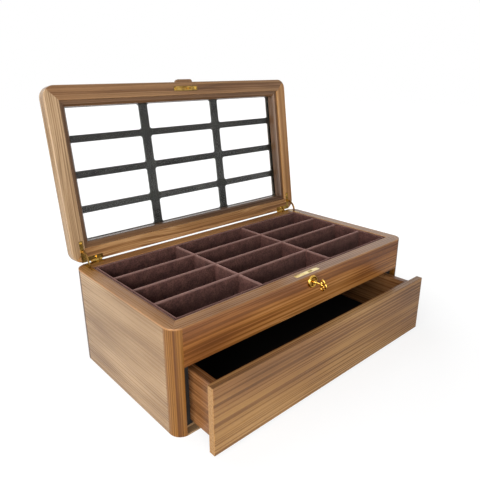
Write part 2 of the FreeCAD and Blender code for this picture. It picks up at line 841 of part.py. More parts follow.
def lock_seat_tools():
    """What the lock takes out of the fascia and the front rim."""
    half = lock_length / 2 + recess_gap
    depth = lock_thickness / 2 + recess_gap
    return [
        block("lock_mortise", (-half, half), (lock_y - depth, lock_y + depth),
              (rim_bottom - lock_depth - recess_gap, rim_bottom)),
        round_cornered("plate_seat", (0, lock_y), plate_length + recess_gap * 2,
                       plate_width + recess_gap * 2, plate_corner + recess_gap, plate_bottom, case_height),
        keyhole("fascia_keyhole", front, lock_y, key_clearance * 2),
    ]


def lock():
    """Lock case with its drill pin, the plate on the rim, the sliding bolt and the escutcheon."""
    half = lock_length / 2
    depth = lock_thickness / 2
    case_bottom = rim_bottom - lock_depth
    shell = block("lock_shell", (-half, half), (lock_y - depth, lock_y + depth), (case_bottom, rim_bottom))
    hollow = block("lock_hollow", (-half + lock_wall, half - lock_wall),
                   (lock_y - depth + lock_wall, lock_y + depth - lock_wall),
                   (case_bottom + lock_wall, rim_bottom))
    hole = keyhole("lock_keyhole", lock_y - depth, lock_y - depth + lock_wall, key_clearance)
    pin = rod("lock_drill_pin", "y", talon_front - drill_pin, lock_y + depth - lock_wall, (0, key_z),
              drill_pin)
    node("lock_body", fuse("lock_body", cut("lock_case", shell, hollow, hole), pin))

    plate = round_cornered("lock_plate_blank", (0, lock_y), plate_length, plate_width, plate_corner,
                           plate_bottom, case_height)
    slot = capsule("lock_plate_slot", (slot_centre, lock_y), slot_length, slot_width,
                   plate_bottom, case_height)
    node("lock_plate", cut("lock_plate", plate, slot))

    bolt_top = notch_top - bolt_clearance
    bar_tip = hook_start - bolt_clearance
    talon_left = bar_tip - bolt_clearance
    bolt = fuse(
        "lock_bolt",
        block("bolt_bar", (bar_tip - bolt_length, bar_tip), (bolt_y, bolt_y + bolt_thickness),
              (bolt_top - bolt_height, bolt_top)),
        block("bolt_cheek", (bar_tip - bolt_length / 2, talon_left + talon_width), (talon_front, talon_back),
              (key_z + key_shank + bolt_clearance, bolt_top)),
        block("bolt_talon", (talon_left, talon_left + talon_width), (talon_front, talon_back),
              (key_z - key_bit_reach + key_bit_width / 2, bolt_top)),
    )
    node("lock_bolt", bolt)

    disc = rod("escutcheon_disc", "y", front - escutcheon_base, front, (0, key_z), escutcheon_radius)
    lip = ring("escutcheon_lip", "y", (0, front - escutcheon_base, key_z),
               escutcheon_radius - escutcheon_ring, escutcheon_ring)
    raised = block("escutcheon_front", (-half_width, half_width), (front - front_wall, front),
                   (0, case_height))
    face = fuse("escutcheon_face", disc, common("escutcheon_lip_cut", lip, raised))
    node("escutcheon", cut("escutcheon", face, keyhole("escutcheon_hole", front - escutcheon_base, front,
                                                       key_clearance)))


def key():
    """A hollow key with a collar, a bit and a bow of three ringed lobes."""
    bow_y = front - key_bow_out
    collar_y = front - escutcheon_base - escutcheon_ring - key_clearance * 2
    lobe_centres = {
        "out": (0, bow_y - key_lobe_out, key_z),
        "up": (0, bow_y + key_lobe_back, key_z + key_lobe_centre),
        "down": (0, bow_y + key_lobe_back, key_z - key_lobe_centre),
    }
    lobes = [ring(f"key_lobe_{name}", "x", centre, key_lobe, key_lobe_section)
             for name, centre in lobe_centres.items()]
    stem = rod("key_stem", "y", bow_y - key_lobe_section, talon_back, (0, key_z), key_shank)
    neck_y = collar_y - key_collar_length
    collars = [
        rod("key_collar", "y", neck_y, collar_y, (0, key_z), key_collar),
        rod("key_neck", "y", neck_y - key_neck_length, neck_y, (0, key_z), key_neck),
    ]
    half = key_bit_width / 2
    bit = block("key_bit", (-half, half), (talon_back - key_bit_depth, talon_back),
                (key_z - key_bit_reach, key_z))
    bore = rod("key_bore", "y", talon_front - key_bore, talon_back, (0, key_z), key_bore)
    node("key", cut("key", fuse("key_solid", stem, bit, *collars, *lobes), bore))


# The hinges

def hinges():
    """Leaves, knuckles and pins on both sides, with the arcs that stop the lid."""
    third = barrel_length / 3
    sections = [(barrel_start + third * part, barrel_start + third * (part + 1)) for part in range(3)]
    bore = rod("hinge_bore", "x", barrel_start, barrel_start + barrel_length, (axis_y, axis_z),
               pin_radius + pin_gap)

    def knuckle(name, part, grow, wider):
        start, end = sections[part]
        return rod(name, "x", start - wider, end + wider, (axis_y, axis_z), knuckle_radius + grow)

    slot_angle = stay_angle / 2
    case_top = case_height
    leaves = {
        "case": (case_top - leaf_thickness, case_top, (0, 2), (1,), 1, case_top),
        "lid": (lid_bottom, lid_bottom + leaf_thickness, (1,), (0, 2), -1, lid_bottom),
    }
    for name, (low, high, own, others, down, head_level) in leaves.items():
        plate = leaf_outline(f"hinge_{name}_plate", 0, low, high)
        knuckles = [knuckle(f"{name}_knuckle_{part}", part, 0, -knuckle_gap / 2) for part in own]
        rooms = [knuckle(f"{name}_room_{part}", part, knuckle_room, knuckle_gap / 2) for part in others]
        slot = quadrant(f"hinge_{name}_slot", stay_gap, -slot_angle, stay_angle)
        holes = hinge_screws(f"hinge_{name}_hole", head_level, down, screw_gap)[::2]
        trimmed = cut(f"hinge_{name}_trimmed", fuse(f"hinge_{name}_joined", plate, *knuckles),
                      *rooms, bore, slot, *holes)
        finished = leaf_sides(name, trimmed)
        for label, item in finished.items():
            node(label, item)

    pin = rod("hinge_pin_right", "x", barrel_start, barrel_start + barrel_length, (axis_y, axis_z),
              pin_radius)
    node("hinge_pins", pair("hinge_pins", pin))
    node("case_screws", group("case_screws", *hinge_screws("case_screw", case_top, 1)))

    middle = (lid_angle - stay_angle) / 2
    both_sides("quadrant_stay", quadrant("quadrant_stay_right", 0, middle, stay_angle))


def leaf_sides(name, leaf):
    """The right and left leaf; a lid leaf is swung open with the lid."""
    left = mirrored(f"hinge_{name}_left", leaf)
    labels = {f"hinge_{name}_leaf_right": leaf, f"hinge_{name}_leaf_left": left}
    if name == "lid":
        return {label: opened(label, item) for label, item in labels.items()}
    return labels


# The lid

def opened(label, *items):
    """Swing pieces that are drawn on the closed lid back about the hinge axis."""
    swung = group(f"{label}_opened", *items)
    turn = FreeCAD.Rotation(FreeCAD.Vector(-1, 0, 0), lid_angle.value)
    swung.Placement = FreeCAD.Placement(FreeCAD.Vector(), turn)
    swung.setExpression("Placement.Rotation.Angle", lid_angle.formula)
    along, across = cosine(lid_angle), sine(lid_angle)
    place(swung, y=axis_y - axis_y * along - axis_z * across, z=axis_z + axis_y * across - axis_z * along)
    return swung


def lid_frame():
    """Mitred rails and stiles with a lip over the mask, and the beads that hold the glass."""
    envelope = lid_envelope()
    barrels = pair("lid_barrel_room", barrel_room("lid_barrel", knuckle_room))
    mortises = pair("lid_stay_mortises", quadrant("lid_mortise", stay_gap, 0, mortise_angle))
    leaves = pair("lid_leaf_seats", leaf_outline("lid_leaf_seat", recess_gap, lid_bottom,
                                                 lid_bottom + leaf_thickness))
    pilots = group("lid_pilots", *hinge_screws("lid_pilot", lid_bottom, -1, screw_gap))
    hinge_cutters = [barrels, mortises, leaves, pilots]
    strike_cutters = [
        round_cornered("strike_seat", (0, lock_y), strike_length + recess_gap * 2,
                       strike_width + recess_gap * 2, plate_corner + recess_gap, lid_bottom,
                       lid_bottom + strike_thickness),
        tab_block("tab_seat", recess_gap),
        *strike_screws("strike_pilot", screw_gap),
    ]
    names = {"front": "lid_rail_front", "rear": "lid_rail_rear", "left": "lid_stile_left",
             "right": "lid_stile_right"}
    for side_name, label in names.items():
        rail = mitred(f"{label}_rail", side_name, CASE_OUTSIDE, LID_INSIDE, lid_bottom, lid_top)
        soften(rail, "Fillet", on_rectangle(LID_INSIDE, lid_bottom), arris)
        lip = mitred(f"{label}_lip", side_name, LID_INSIDE, SIGHT, mask_top, lid_top)
        soften(lip, "Fillet", on_rectangle(SIGHT, lid_top), arris)
        member = fuse(f"{label}_whole", rail, lip)
        rounded = common(f"{label}_rounded", member, envelope)
        cutters = strike_cutters if side_name == "front" else hinge_cutters
        node(label, opened(label, cut(f"{label}_cut", rounded, *cutters)))
        bead(side_name)


def bead(side_name):
    """One mitred bead, bevelled on its sight edge."""
    name = f"bead_{side_name}"
    top = lid_bottom + bead_recess
    body = mitred(f"{name}_strip", side_name, LID_INSIDE, SIGHT, top, glass_bottom)
    soften(body, "Chamfer", on_rectangle(SIGHT, top), bead_chamfer)
    node(name, opened(name, body))


def glazing():
    """The pane and the black mask behind it, cut with twelve windows."""
    reach_x = rail_x - glass_gap
    reach_y = rail_y - glass_gap
    plate = rectangle((-reach_x, reach_x), (-reach_y, reach_y))
    pane = block("glass_sheet", (-reach_x, reach_x), (-reach_y, reach_y), (glass_bottom, mask_bottom))
    node("glass_pane", opened("glass_pane", pane))

    half_bar = mask_bar / 2
    half_rung = mask_rung / 2
    middle = column_pitch / 2
    columns = [(-window_end, -middle - half_bar), (-middle + half_bar, middle - half_bar),
               (middle + half_bar, window_end)]
    rows = [(-window_side, -row_pitch - half_rung), (-row_pitch + half_rung, -half_rung),
            (half_rung, row_pitch - half_rung), (row_pitch + half_rung, window_side)]
    windows = [rectangle(column, row) for column in columns for row in rows]
    mask = prism("mask_plate", "XY_Plane", [plate], mask_bottom, mask_top)
    pocket(mask, "XY_Plane", windows, mask_top, mask_thickness)

    def window_corner(edge):
        return upright(edge) and abs(edge.BoundBox.XMin) < reach_x.value - CLOSE

    soften(mask, "Fillet", window_corner, window_radius)
    node("window_mask", opened("window_mask", mask))


def tab_block(name, gap):
    """The lift tab, or the seat for it, let into the front rail near its underside."""
    half = tab_width / 2 + gap
    low = lid_bottom + tab_depth - gap
    return block(name, (-half, half), (front - tab_proud, front + tab_inlay + gap),
                 (low, low + tab_thickness + gap * 2))


def strike_screws(name, gap=0):
    """The two screws of the strike plate, or their holes."""
    right = screw(name, strike_screw, lock_y, lid_bottom, -1, gap)
    return [right, mirrored(f"{name}_left", right)]


def lid_hardware():
    """The lift tab, the strike plate with its hook, and all the lid's screws."""
    tab = prism("tab_body", "XY_Plane",
                [rectangle((-tab_width / 2, tab_width / 2), (front - tab_proud, front + tab_inlay))],
                lid_bottom + tab_depth, lid_bottom + tab_depth + tab_thickness)
    soften(tab, "Fillet", lambda edge: upright(edge) and edge.BoundBox.YMin < front.value, tab_proud)
    node("lift_tab", opened("lift_tab", tab))

    plate = round_cornered("strike_blank", (0, lock_y), strike_length, strike_width, plate_corner,
                           lid_bottom, lid_bottom + strike_thickness)
    drilled = cut("strike_drilled", plate, *strike_screws("strike_hole", screw_gap))
    half = hook_thickness / 2
    hook = block("strike_hook", (hook_start, hook_start + hook_length), (lock_y - half, lock_y + half),
                 (lid_bottom - hook_reach, lid_bottom + strike_thickness / 2))
    notch = block("hook_notch", (hook_start, hook_start + bolt_throw),
                  (lock_y - hook_thickness, lock_y + hook_thickness), (notch_bottom, notch_top))
    strike = fuse("strike_plate_whole", drilled, cut("strike_hook_notched", hook, notch))
    node("strike_plate", opened("strike_plate", strike))

    screws = hinge_screws("lid_screw", lid_bottom, -1) + strike_screws("strike_screw_right")
    node("lid_screws", opened("lid_screws", *screws))


def check_and_write():
    """Refuse a failed or empty object, then write one file for each sub-part."""
    for item in DOCUMENT.Objects:
        if "Invalid" in item.State or "Error" in item.State:
            raise ValueError(f"{item.Name} failed: {item.State}")
    for label, item in NODES.items():
        shape = item.Shape
        if shape.isNull() or not shape.isValid() or not shape.Solids:
            raise ValueError(f"{label} has no sound shape")
    os.makedirs("parts", exist_ok=True)
    for label, item in NODES.items():
        item.Shape.exportStep(f"parts/{label}.step")
        print(f"{label}: {len(item.Shape.Solids)} solids, {item.Shape.Volume:.1f} cubic mm")
    print(f"{len(NODES)} sub-parts")


case_boards()
lining_and_shelf()
drawer_guides()
tray()
lock()
key()
hinges()
lid_frame()
glazing()
lid_hardware()
drawer()
push_latch()
DOCUMENT.recompute()
check_and_write()
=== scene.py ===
"""A walnut box for glasses on a white ground: the lid open on its stays, the drawer part way out.

The fixed frame gives every board its place. This script gives each one its wood, cloth or metal,
and models the pieces whose detail the frame leaves out: the screws, the lock's furniture, the key
and the cloth-covered boards. Everything is in metres, with the front towards -Y and +Z up.
"""

import json
import logging
import math
from collections.abc import Callable, Iterator, Sequence
from contextlib import contextmanager
from dataclasses import dataclass, field
from enum import Enum

import bmesh
import bpy
from mathutils import Matrix, Vector

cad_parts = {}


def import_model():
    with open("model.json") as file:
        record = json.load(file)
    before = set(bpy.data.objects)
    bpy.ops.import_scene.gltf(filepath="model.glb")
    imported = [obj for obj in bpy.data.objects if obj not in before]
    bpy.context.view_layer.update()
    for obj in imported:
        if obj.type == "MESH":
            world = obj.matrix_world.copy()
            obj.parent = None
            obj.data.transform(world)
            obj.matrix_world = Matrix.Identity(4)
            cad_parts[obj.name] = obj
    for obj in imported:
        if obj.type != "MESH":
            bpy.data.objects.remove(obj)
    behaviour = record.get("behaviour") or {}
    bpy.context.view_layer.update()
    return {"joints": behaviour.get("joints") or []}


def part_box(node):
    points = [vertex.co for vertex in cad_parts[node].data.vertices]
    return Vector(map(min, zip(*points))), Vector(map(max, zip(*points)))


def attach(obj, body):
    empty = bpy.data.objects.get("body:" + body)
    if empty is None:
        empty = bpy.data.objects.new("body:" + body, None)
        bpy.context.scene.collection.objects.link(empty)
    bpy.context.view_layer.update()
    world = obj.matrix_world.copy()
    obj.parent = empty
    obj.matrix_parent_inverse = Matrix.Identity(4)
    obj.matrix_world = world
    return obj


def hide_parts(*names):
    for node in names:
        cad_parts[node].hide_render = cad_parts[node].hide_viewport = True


MM = 0.001
TINY = 1e-6
LOG = logging.getLogger("glasses_box")

Inputs = dict[str | int, object]
Source = bpy.types.Node | bpy.types.NodeSocket
Stops = Sequence[tuple[float, str]]
Span = tuple[float, float]


# Colours and shader nodes

def linear(code: str) -> tuple[float, float, float, float]:
    """Turn an sRGB hex value into the linear colour that a shader takes.

    Args:
        code: Six hex digits after a hash.

    Returns:
        Red, green and blue, and an alpha of 1.
    """
    digits = code.lstrip("#")
    channels = [int(digits[start:start + 2], 16) / 255 for start in (0, 2, 4)]
    red, green, blue = (
        c / 12.92 if c <= 0.04045 else ((c + 0.055) / 1.055) ** 2.4 for c in channels)
    return red, green, blue, 1.0


def feed(tree: bpy.types.NodeTree, node: bpy.types.Node, inputs: Inputs) -> None:
    """Link or set a node's inputs.

    Args:
        tree: The node's tree.
        node: The node.
        inputs: What each input takes, by its name or number: a socket, a node for its first
            output, or a value.
    """
    for key, value in inputs.items():
        if isinstance(value, bpy.types.Node):
            value = value.outputs[0]
        if isinstance(value, bpy.types.NodeSocket):
            tree.links.new(value, node.inputs[key])
        else:
            node.inputs[key].default_value = value


def add_node(tree: bpy.types.NodeTree, kind: str, inputs: Inputs | None = None, stops: Stops = (),
             **settings: object) -> bpy.types.Node:
    """Add one shader node with its settings, values and links.

    Args:
        tree: The material's or the world's node tree.
        kind: The type after the word ShaderNode, such as TexNoise.
        inputs: What feed() links or sets.
        stops: Places and hex colours for a colour ramp.
        settings: The node's own properties.

    Returns:
        The new node.
    """
    node = tree.nodes.new("ShaderNode" + kind)
    for name, value in settings.items():
        setattr(node, name, value)
    feed(tree, node, inputs or {})
    if stops:
        elements = node.color_ramp.elements
        while len(elements) < len(stops):
            elements.new(1.0)
        for element, (place, code) in zip(elements, stops):
            element.position = place
            element.color = linear(code)
    return node


def new_material(name: str) -> tuple[bpy.types.Material, bpy.types.NodeTree, bpy.types.Node,
                                     bpy.types.Node]:
    """Start a material that holds a Principled shader and its texture coordinates.

    Args:
        name: The real material's name.

    Returns:
        The material, its node tree, the Principled node and the coordinates' node.
    """
    material = bpy.data.materials.new(name)
    material.use_nodes = True
    tree = material.node_tree
    tree.nodes.clear()
    shader = add_node(tree, "BsdfPrincipled")
    add_node(tree, "OutputMaterial", {"Surface": shader})
    return material, tree, shader, add_node(tree, "TexCoord")


def stretched_noise(tree: bpy.types.NodeTree, source: Source, along: float, across: float,
                    detail: float = 2.0) -> Source:
    """Noise whose features are longer along X than across it, as wood's are.

    Args:
        tree: The material's node tree.
        source: The coordinates, with the grain along X.
        along: A feature's length in metres.
        across: Its width in metres.
        detail: How many finer octaves are added.

    Returns:
        The noise, about 0.5 on average.
    """
    spread = add_node(tree, "VectorMath", {
        0: source, 1: (1 / along, 1 / across, 1 / across)}, operation="MULTIPLY")
    return add_node(tree, "TexNoise", {
        "Vector": spread, "Scale": 1.0, "Detail": detail, "Roughness": 0.55})


# Finishes

class Grain(Enum):
    """The way a board's grain runs while the lid is shut, as turns that bring it onto local X."""

    ALONG_X = (0.0, 0.0, 0.0)
    ALONG_Y = (0.0, 0.0, -math.pi / 2)
    UPRIGHT = (0.0, math.pi / 2, 0.0)


@dataclass(frozen=True)
class Walnut:
    """American walnut under satin lacquer: warm brown, with darker streaks along the board.

    Straight streaks are growth rings cut on the quarter, the wandering figure is rings cut on
    the slant, and the short dark dashes are open pores. Cut ends are lipped with plain wood.
    """

    name: str
    dark: str = "#55321A"
    brown: str = "#7E4D25"
    tan: str = "#9E6833"
    pale: str = "#B2804D"
    figure: float = 0.35
    streak: float = 9 * MM
    rings: float = 0.7
    lines: float = 0.35
    tone: float = 0.6
    spacing: float = 2.2 * MM
    roughness: float = 0.27
    gloss: float = 0.36

    def material(self, board: str, grain: Grain, tilt: float = 0.0) -> bpy.types.Material:
        """Make this wood for one board.

        Args:
            board: The board's name, for the material's name and for where the pattern is cut.
            grain: The way the grain runs.
            tilt: The lid's angle, for a board that is drawn open.

        Returns:
            The material.
        """
        material, tree, shader, coords = new_material(f"{self.name}, {board}")
        shut = add_node(tree, "Mapping", {
            "Vector": coords.outputs["Object"], "Rotation": (tilt, 0.0, 0.0)})
        laid = add_node(tree, "Mapping", {
            "Vector": shut, "Location": cut_from_log(board), "Rotation": grain.value})
        # A slow drift across the grain, in metres, bends the streaks into a figure.
        drift = add_node(tree, "Math", {
            0: stretched_noise(tree, laid, 0.45, 0.06), 1: 0.09 * self.figure},
            operation="MULTIPLY")
        push = add_node(tree, "CombineXYZ", {"Y": drift, "Z": drift})
        bent = add_node(tree, "VectorMath", {0: laid, 1: push}, operation="ADD")
        # Real fine lines are under a pixel here, so they are drawn a few millimetres apart.
        fine = stretched_noise(tree, bent, 0.80, self.spacing, 0.0)
        pores = stretched_noise(tree, bent, 9 * MM, 0.8 * MM, 1.0)
        wood = self.streaks(tree, laid, bent, fine, pores)

        rough = add_node(tree, "MapRange", {
            "Value": fine, "To Min": self.roughness - 0.04, "To Max": self.roughness + 0.05})
        relief = add_node(tree, "Math", {0: fine, 1: pores}, operation="ADD")
        bump = add_node(tree, "Bump", {"Height": relief, "Distance": 0.03 * MM, "Strength": 0.2})
        feed(tree, shader, {
            "Base Color": self.lipped(tree, wood, coords.outputs["Normal"], grain, tilt),
            "Roughness": rough, "Normal": bump, "Specular IOR Level": self.gloss})
        return material

    def streaks(self, tree: bpy.types.NodeTree, laid: Source, bent: Source, fine: Source,
                pores: Source) -> Source:
        """Colour the wood by its rings, fine lines, slow changes of tone and pores.

        Args:
            tree: The material's node tree.
            laid: The coordinates, with the grain along X.
            bent: The same, bent into a figure.
            fine: The noise of the fine lines.
            pores: The noise of the pores.

        Returns:
            The wood's colour.
        """
        rings = stretched_noise(tree, bent, 0.9, self.streak, 3.0)
        tone = stretched_noise(tree, laid, 0.30, 0.07)
        level: Source | float = 0.5
        for source, weight in ((rings, self.rings), (fine, 0.4 * self.lines), (tone, self.tone)):
            centred = add_node(tree, "Math", {0: source, 1: 0.5}, operation="SUBTRACT")
            level = add_node(tree, "Math", {
                0: centred, 1: weight, 2: level}, operation="MULTIPLY_ADD")
        colour = add_node(tree, "ValToRGB", {"Fac": level}, stops=(
            (0.26, self.dark), (0.44, self.brown), (0.56, self.tan), (0.74, self.pale)))
        # The lines stand out on some stretches of the veneer and fade on others.
        shown = add_node(tree, "MapRange", {
            "Value": stretched_noise(tree, laid, 0.16, 0.09), "From Min": 0.36, "From Max": 0.60,
            "To Min": 0.5 * self.lines, "To Max": self.lines})
        vein = add_node(tree, "MapRange", {
            "Value": fine, "From Min": 0.36, "From Max": 0.52, "To Min": shown, "To Max": 0.0})
        open_pore = add_node(tree, "MapRange", {
            "Value": pores, "From Min": 0.60, "From Max": 0.74, "To Min": 0.0, "To Max": 0.35})
        marked = add_node(tree, "Math", {0: open_pore, 1: vein}, operation="MAXIMUM")
        return add_node(tree, "MixRGB", {
            "Fac": marked, "Color1": colour, "Color2": linear(self.dark)})

    def lipped(self, tree: bpy.types.NodeTree, wood: Source, normal: Source, grain: Grain,
               tilt: float) -> Source:
        """Show the faces across the grain as plain wood, without rings.

        Args:
            tree: The material's node tree.
            wood: The wood's colour.
            normal: The way that a face looks.
            grain: The way the grain runs.
            tilt: The lid's angle.

        Returns:
            The colour with its ends lipped.
        """
        for turn in ((tilt, 0.0, 0.0), grain.value):
            normal = add_node(tree, "Mapping", {
                "Vector": normal, "Rotation": turn}, vector_type="VECTOR")
        along = add_node(tree, "SeparateXYZ", {"Vector": normal})
        faced = add_node(tree, "Math", {0: along.outputs["X"]}, operation="ABSOLUTE")
        plain = add_node(tree, "MapRange", {
            "Value": faced, "From Min": 0.80, "From Max": 0.95, "To Max": 0.85})
        return add_node(tree, "MixRGB", {
            "Fac": plain, "Color1": wood, "Color2": linear(self.tan)})


def cut_from_log(board: str) -> tuple[float, float, float]:
    """Choose where a board is cut from the log, so that no two boards match.

    Args:
        board: The board's name.

    Returns:
        The pattern's offset in metres.
    """
    number = sum(place * ord(letter) for place, letter in enumerate(board, 1))
    return tuple((number * step) % 7 - 3.5 for step in (0.37, 0.61, 0.83))


@dataclass(frozen=True)
class Velvet:
    """Short-pile cotton velvet over board: dark, with a pale bloom where it turns away.

    One field sets how much pale colour is painted onto upward faces: a painted highlight on tops.
    """

    name: str
    deep: str = "#38221F"
    nap: str = "#6A4740"
    bloom: str = "#F2C4B8"
    sheen: float = 1.0
    painted_top_light: float = 0.0
    pile: float = 2.2 * MM

    def material(self) -> bpy.types.Material:
        """Make the cloth: mottled nap, a little relief, sheen from the upright pile, and paler
        painted tops.
        """
        material, tree, shader, coords = new_material(self.name)
        where = coords.outputs["Object"]
        nap = add_node(tree, "TexNoise", {
            "Vector": where, "Scale": 1 / (14 * MM), "Detail": 4.0, "Roughness": 0.7})
        # The tufts are far under a pixel, so they are drawn at a coarse pile's spacing.
        tufts = add_node(tree, "TexNoise", {"Vector": where, "Scale": 1 / self.pile, "Detail": 2.0})
        blend = add_node(tree, "Math", {0: nap, 1: tufts}, operation="MULTIPLY")
        colour = add_node(tree, "ValToRGB", {"Fac": blend}, stops=(
            (0.12, self.deep), (0.40, self.nap)))
        # Upward faces are painted towards the pale sheen colour: a painted highlight on the board
        # tops.
        upward = add_node(tree, "SeparateXYZ", {"Vector": coords.outputs["Normal"]})
        painted_top_share = add_node(tree, "MapRange", {
            "Value": upward.outputs["Z"], "From Min": 0.15, "From Max": 0.75, "To Max": self.painted_top_light})
        painted_top_colour = add_node(tree, "MixRGB", {
            "Fac": painted_top_share, "Color1": colour, "Color2": linear(self.bloom)})
        bump = add_node(tree, "Bump", {"Height": tufts, "Distance": 0.25 * MM, "Strength": 0.5})
        feed(tree, shader, {
            "Base Color": painted_top_colour, "Normal": bump, "Roughness": 0.95, "Specular IOR Level": 0.15,
            "Sheen Weight": self.sheen, "Sheen Roughness": 0.40,
            "Sheen Tint": linear(self.bloom)})
        return material


@dataclass(frozen=True)
class Brass:
    """Polished, lacquered brass: golden and nearly a mirror, with faint wiping marks."""

    name: str
    colour: str = "#EBCB7C"
    aged: str = "#CFA04A"
    roughness: float = 0.16

    def material(self) -> bpy.types.Material:
        """Make the metal: full metallic, clouded in tone and gloss on a scale of millimetres."""
        material, tree, shader, coords = new_material(self.name)
        where = coords.outputs["Object"]
        clouds = add_node(tree, "TexNoise", {"Vector": where, "Scale": 1 / (6 * MM), "Detail": 3.0})
        wiping = stretched_noise(tree, where, 12 * MM, 0.5 * MM, 1.0)
        colour = add_node(tree, "ValToRGB", {"Fac": clouds}, stops=(
            (0.35, self.aged), (0.60, self.colour)))
        rough = add_node(tree, "MapRange", {
            "Value": wiping, "To Min": self.roughness - 0.06, "To Max": self.roughness + 0.10})
        feed(tree, shader, {
            "Base Color": colour, "Roughness": rough, "Metallic": 1.0})
        return material


@dataclass(frozen=True)
class Glass:
    """Clear float glass: it shows what lies behind it and a weak reflection of the room.

    The index is below real glass's 1.52, as the photo's pane hardly reflects the white room.
    """

    name: str
    roughness: float = 0.0
    index: float = 1.33

    def material(self) -> bpy.types.Material:
        """Make the glass, with the faintest change in gloss that wiping leaves."""
        material, tree, shader, coords = new_material(self.name)
        where = coords.outputs["Object"]
        smears = add_node(tree, "TexNoise", {"Vector": where, "Scale": 1 / (60 * MM)})
        rough = add_node(tree, "MapRange", {
            "Value": smears, "From Min": 0.55, "To Min": self.roughness,
            "To Max": self.roughness + 0.02})
        feed(tree, shader, {
            "Base Color": linear("#FFFFFF"), "Roughness": rough,
            "Transmission Weight": 1.0, "IOR": self.index})
        return material


@dataclass(frozen=True)
class Plain:
    """A dark, even finish such as stained board, card or moulded nylon, with a fine tooth."""

    name: str
    colour: str
    worn: str
    roughness: float
    tooth: float = 1.2 * MM

    def material(self) -> bpy.types.Material:
        """Make the finish: two close tones, and a slight tooth that breaks up its shine."""
        material, tree, shader, coords = new_material(self.name)
        where = coords.outputs["Object"]
        tooth = add_node(tree, "TexNoise", {
            "Vector": where, "Scale": 1 / self.tooth, "Detail": 3.0})
        patches = add_node(tree, "TexNoise", {"Vector": where, "Scale": 1 / (40 * MM)})
        colour = add_node(tree, "ValToRGB", {"Fac": patches}, stops=(
            (0.40, self.colour), (0.65, self.worn)))
        rough = add_node(tree, "MapRange", {
            "Value": tooth, "To Min": self.roughness - 0.05, "To Max": self.roughness + 0.05})
        bump = add_node(tree, "Bump", {"Height": tooth, "Distance": 0.04 * MM, "Strength": 0.3})
        feed(tree, shader, {
            "Base Color": colour, "Roughness": rough, "Normal": bump})
        return material


# Modelling by hand

def select_only(piece: bpy.types.Object) -> None:
    """Leave one object selected and active."""
    bpy.ops.object.select_all(action="DESELECT")
    piece.select_set(True)
    bpy.context.view_layer.objects.active = piece


@contextmanager
def editing(piece: bpy.types.Object) -> Iterator[None]:
    """Open a piece for editing, with all of it selected, and close it afterwards."""
    select_only(piece)
    bpy.ops.object.mode_set(mode="EDIT")
    bpy.ops.mesh.select_mode(type="FACE")
    bpy.ops.mesh.select_all(action="SELECT")
    yield
    bpy.ops.object.mode_set(mode="OBJECT")


def pick(kind: str, test: Callable[[object], bool]) -> None:
    """Select, in edit mode, only what passes a test.

    Args:
        kind: "verts", "edges" or "faces".
        test: Says whether one of them is wanted.
    """
    modes = {"verts": "VERT", "edges": "EDGE", "faces": "FACE"}
    bpy.ops.mesh.select_mode(type=modes[kind])
    bpy.ops.mesh.select_all(action="DESELECT")
    mesh = bpy.context.edit_object.data
    edited = bmesh.from_edit_mesh(mesh)
    for item in getattr(edited, kind):
        item.select_set(test(item))
    edited.select_flush_mode()
    bmesh.update_edit_mesh(mesh)


def new_piece(name: str) -> bpy.types.Object:
    """Name the primitive that was just added."""
    piece = bpy.context.object
    piece.name = name
    piece.data.name = name
    return piece


def turned(name: str, profile: Sequence[Span], sides: int = 40) -> bpy.types.Object:
    """Turn a round piece, standing on the origin along Z.

    Args:
        name: The piece's name.
        profile: The height and the radius of each step, from the bottom up.
        sides: How many sides the round has.

    Returns:
        The piece, closed at both ends.
    """
    (height, radius), *steps = profile
    bpy.ops.object.select_all(action="DESELECT")
    bpy.ops.mesh.primitive_circle_add(vertices=sides, radius=radius, fill_type="NGON",
                                      location=(0.0, 0.0, height))
    piece = new_piece(name)
    bpy.ops.object.transform_apply()
    with editing(piece):
        for next_height, next_radius in steps:
            bpy.ops.mesh.extrude_region_move(
                TRANSFORM_OT_translate={"value": (0.0, 0.0, next_height - height)})
            factor = next_radius / radius
            bpy.ops.transform.resize(value=(factor, factor, 1.0),
                                     center_override=(0.0, 0.0, next_height))
            height, radius = next_height, next_radius
        bpy.ops.mesh.select_all(action="SELECT")
        bpy.ops.mesh.normals_make_consistent(inside=False)
    return piece


def block(name: str, low: Vector, high: Vector) -> bpy.types.Object:
    """Add a block between two corners, as the start of a piece.

    Args:
        name: The piece's name.
        low: The lowest corner.
        high: The highest corner.

    Returns:
        The block, with sharp edges.
    """
    bpy.ops.object.select_all(action="DESELECT")
    bpy.ops.mesh.primitive_cube_add(size=1.0, location=(low + high) / 2)
    piece = new_piece(name)
    piece.scale = high - low
    bpy.ops.object.transform_apply()
    return piece


def soften(piece: bpy.types.Object, amount: float, test: Callable[[bmesh.types.BMEdge], bool],
           segments: int = 3) -> bpy.types.Object:
    """Round the edges of a piece that pass a test.

    Args:
        piece: The piece.
        amount: The rounding's radius.
        test: Says whether an edge is wanted.
        segments: How many facets the rounding has.

    Returns:
        The same piece.
    """
    with editing(piece):
        pick("edges", test)
        bpy.ops.mesh.bevel(offset=amount, offset_type="OFFSET", segments=segments, affect="EDGES")
    return piece


def upright(line: bmesh.types.BMEdge) -> bool:
    """Say whether an edge stands upright."""
    start, end = (vert.co for vert in line.verts)
    return (start - end).xy.length < TINY


def at_height(height: float) -> Callable[[bmesh.types.BMEdge], bool]:
    """Return a test for the edges that lie at one height."""
    return lambda line: all(abs(vert.co.z - height) < TINY for vert in line.verts)


def fitting_plate(name: str, low: Vector, high: Vector, corner: float, edge: float,
                  shown: float) -> bpy.types.Object:
    """Shape a flat brass plate with round corners and one bevelled face.

    Args:
        name: The plate's name.
        low: The lowest corner.
        high: The highest corner.
        corner: The radius of its corners.
        edge: The bevel round the face that shows.
        shown: The height of that face.

    Returns:
        The plate.
    """
    piece = soften(block(name, low, high), corner, upright, 5)
    return soften(piece, edge, at_height(shown), 2)


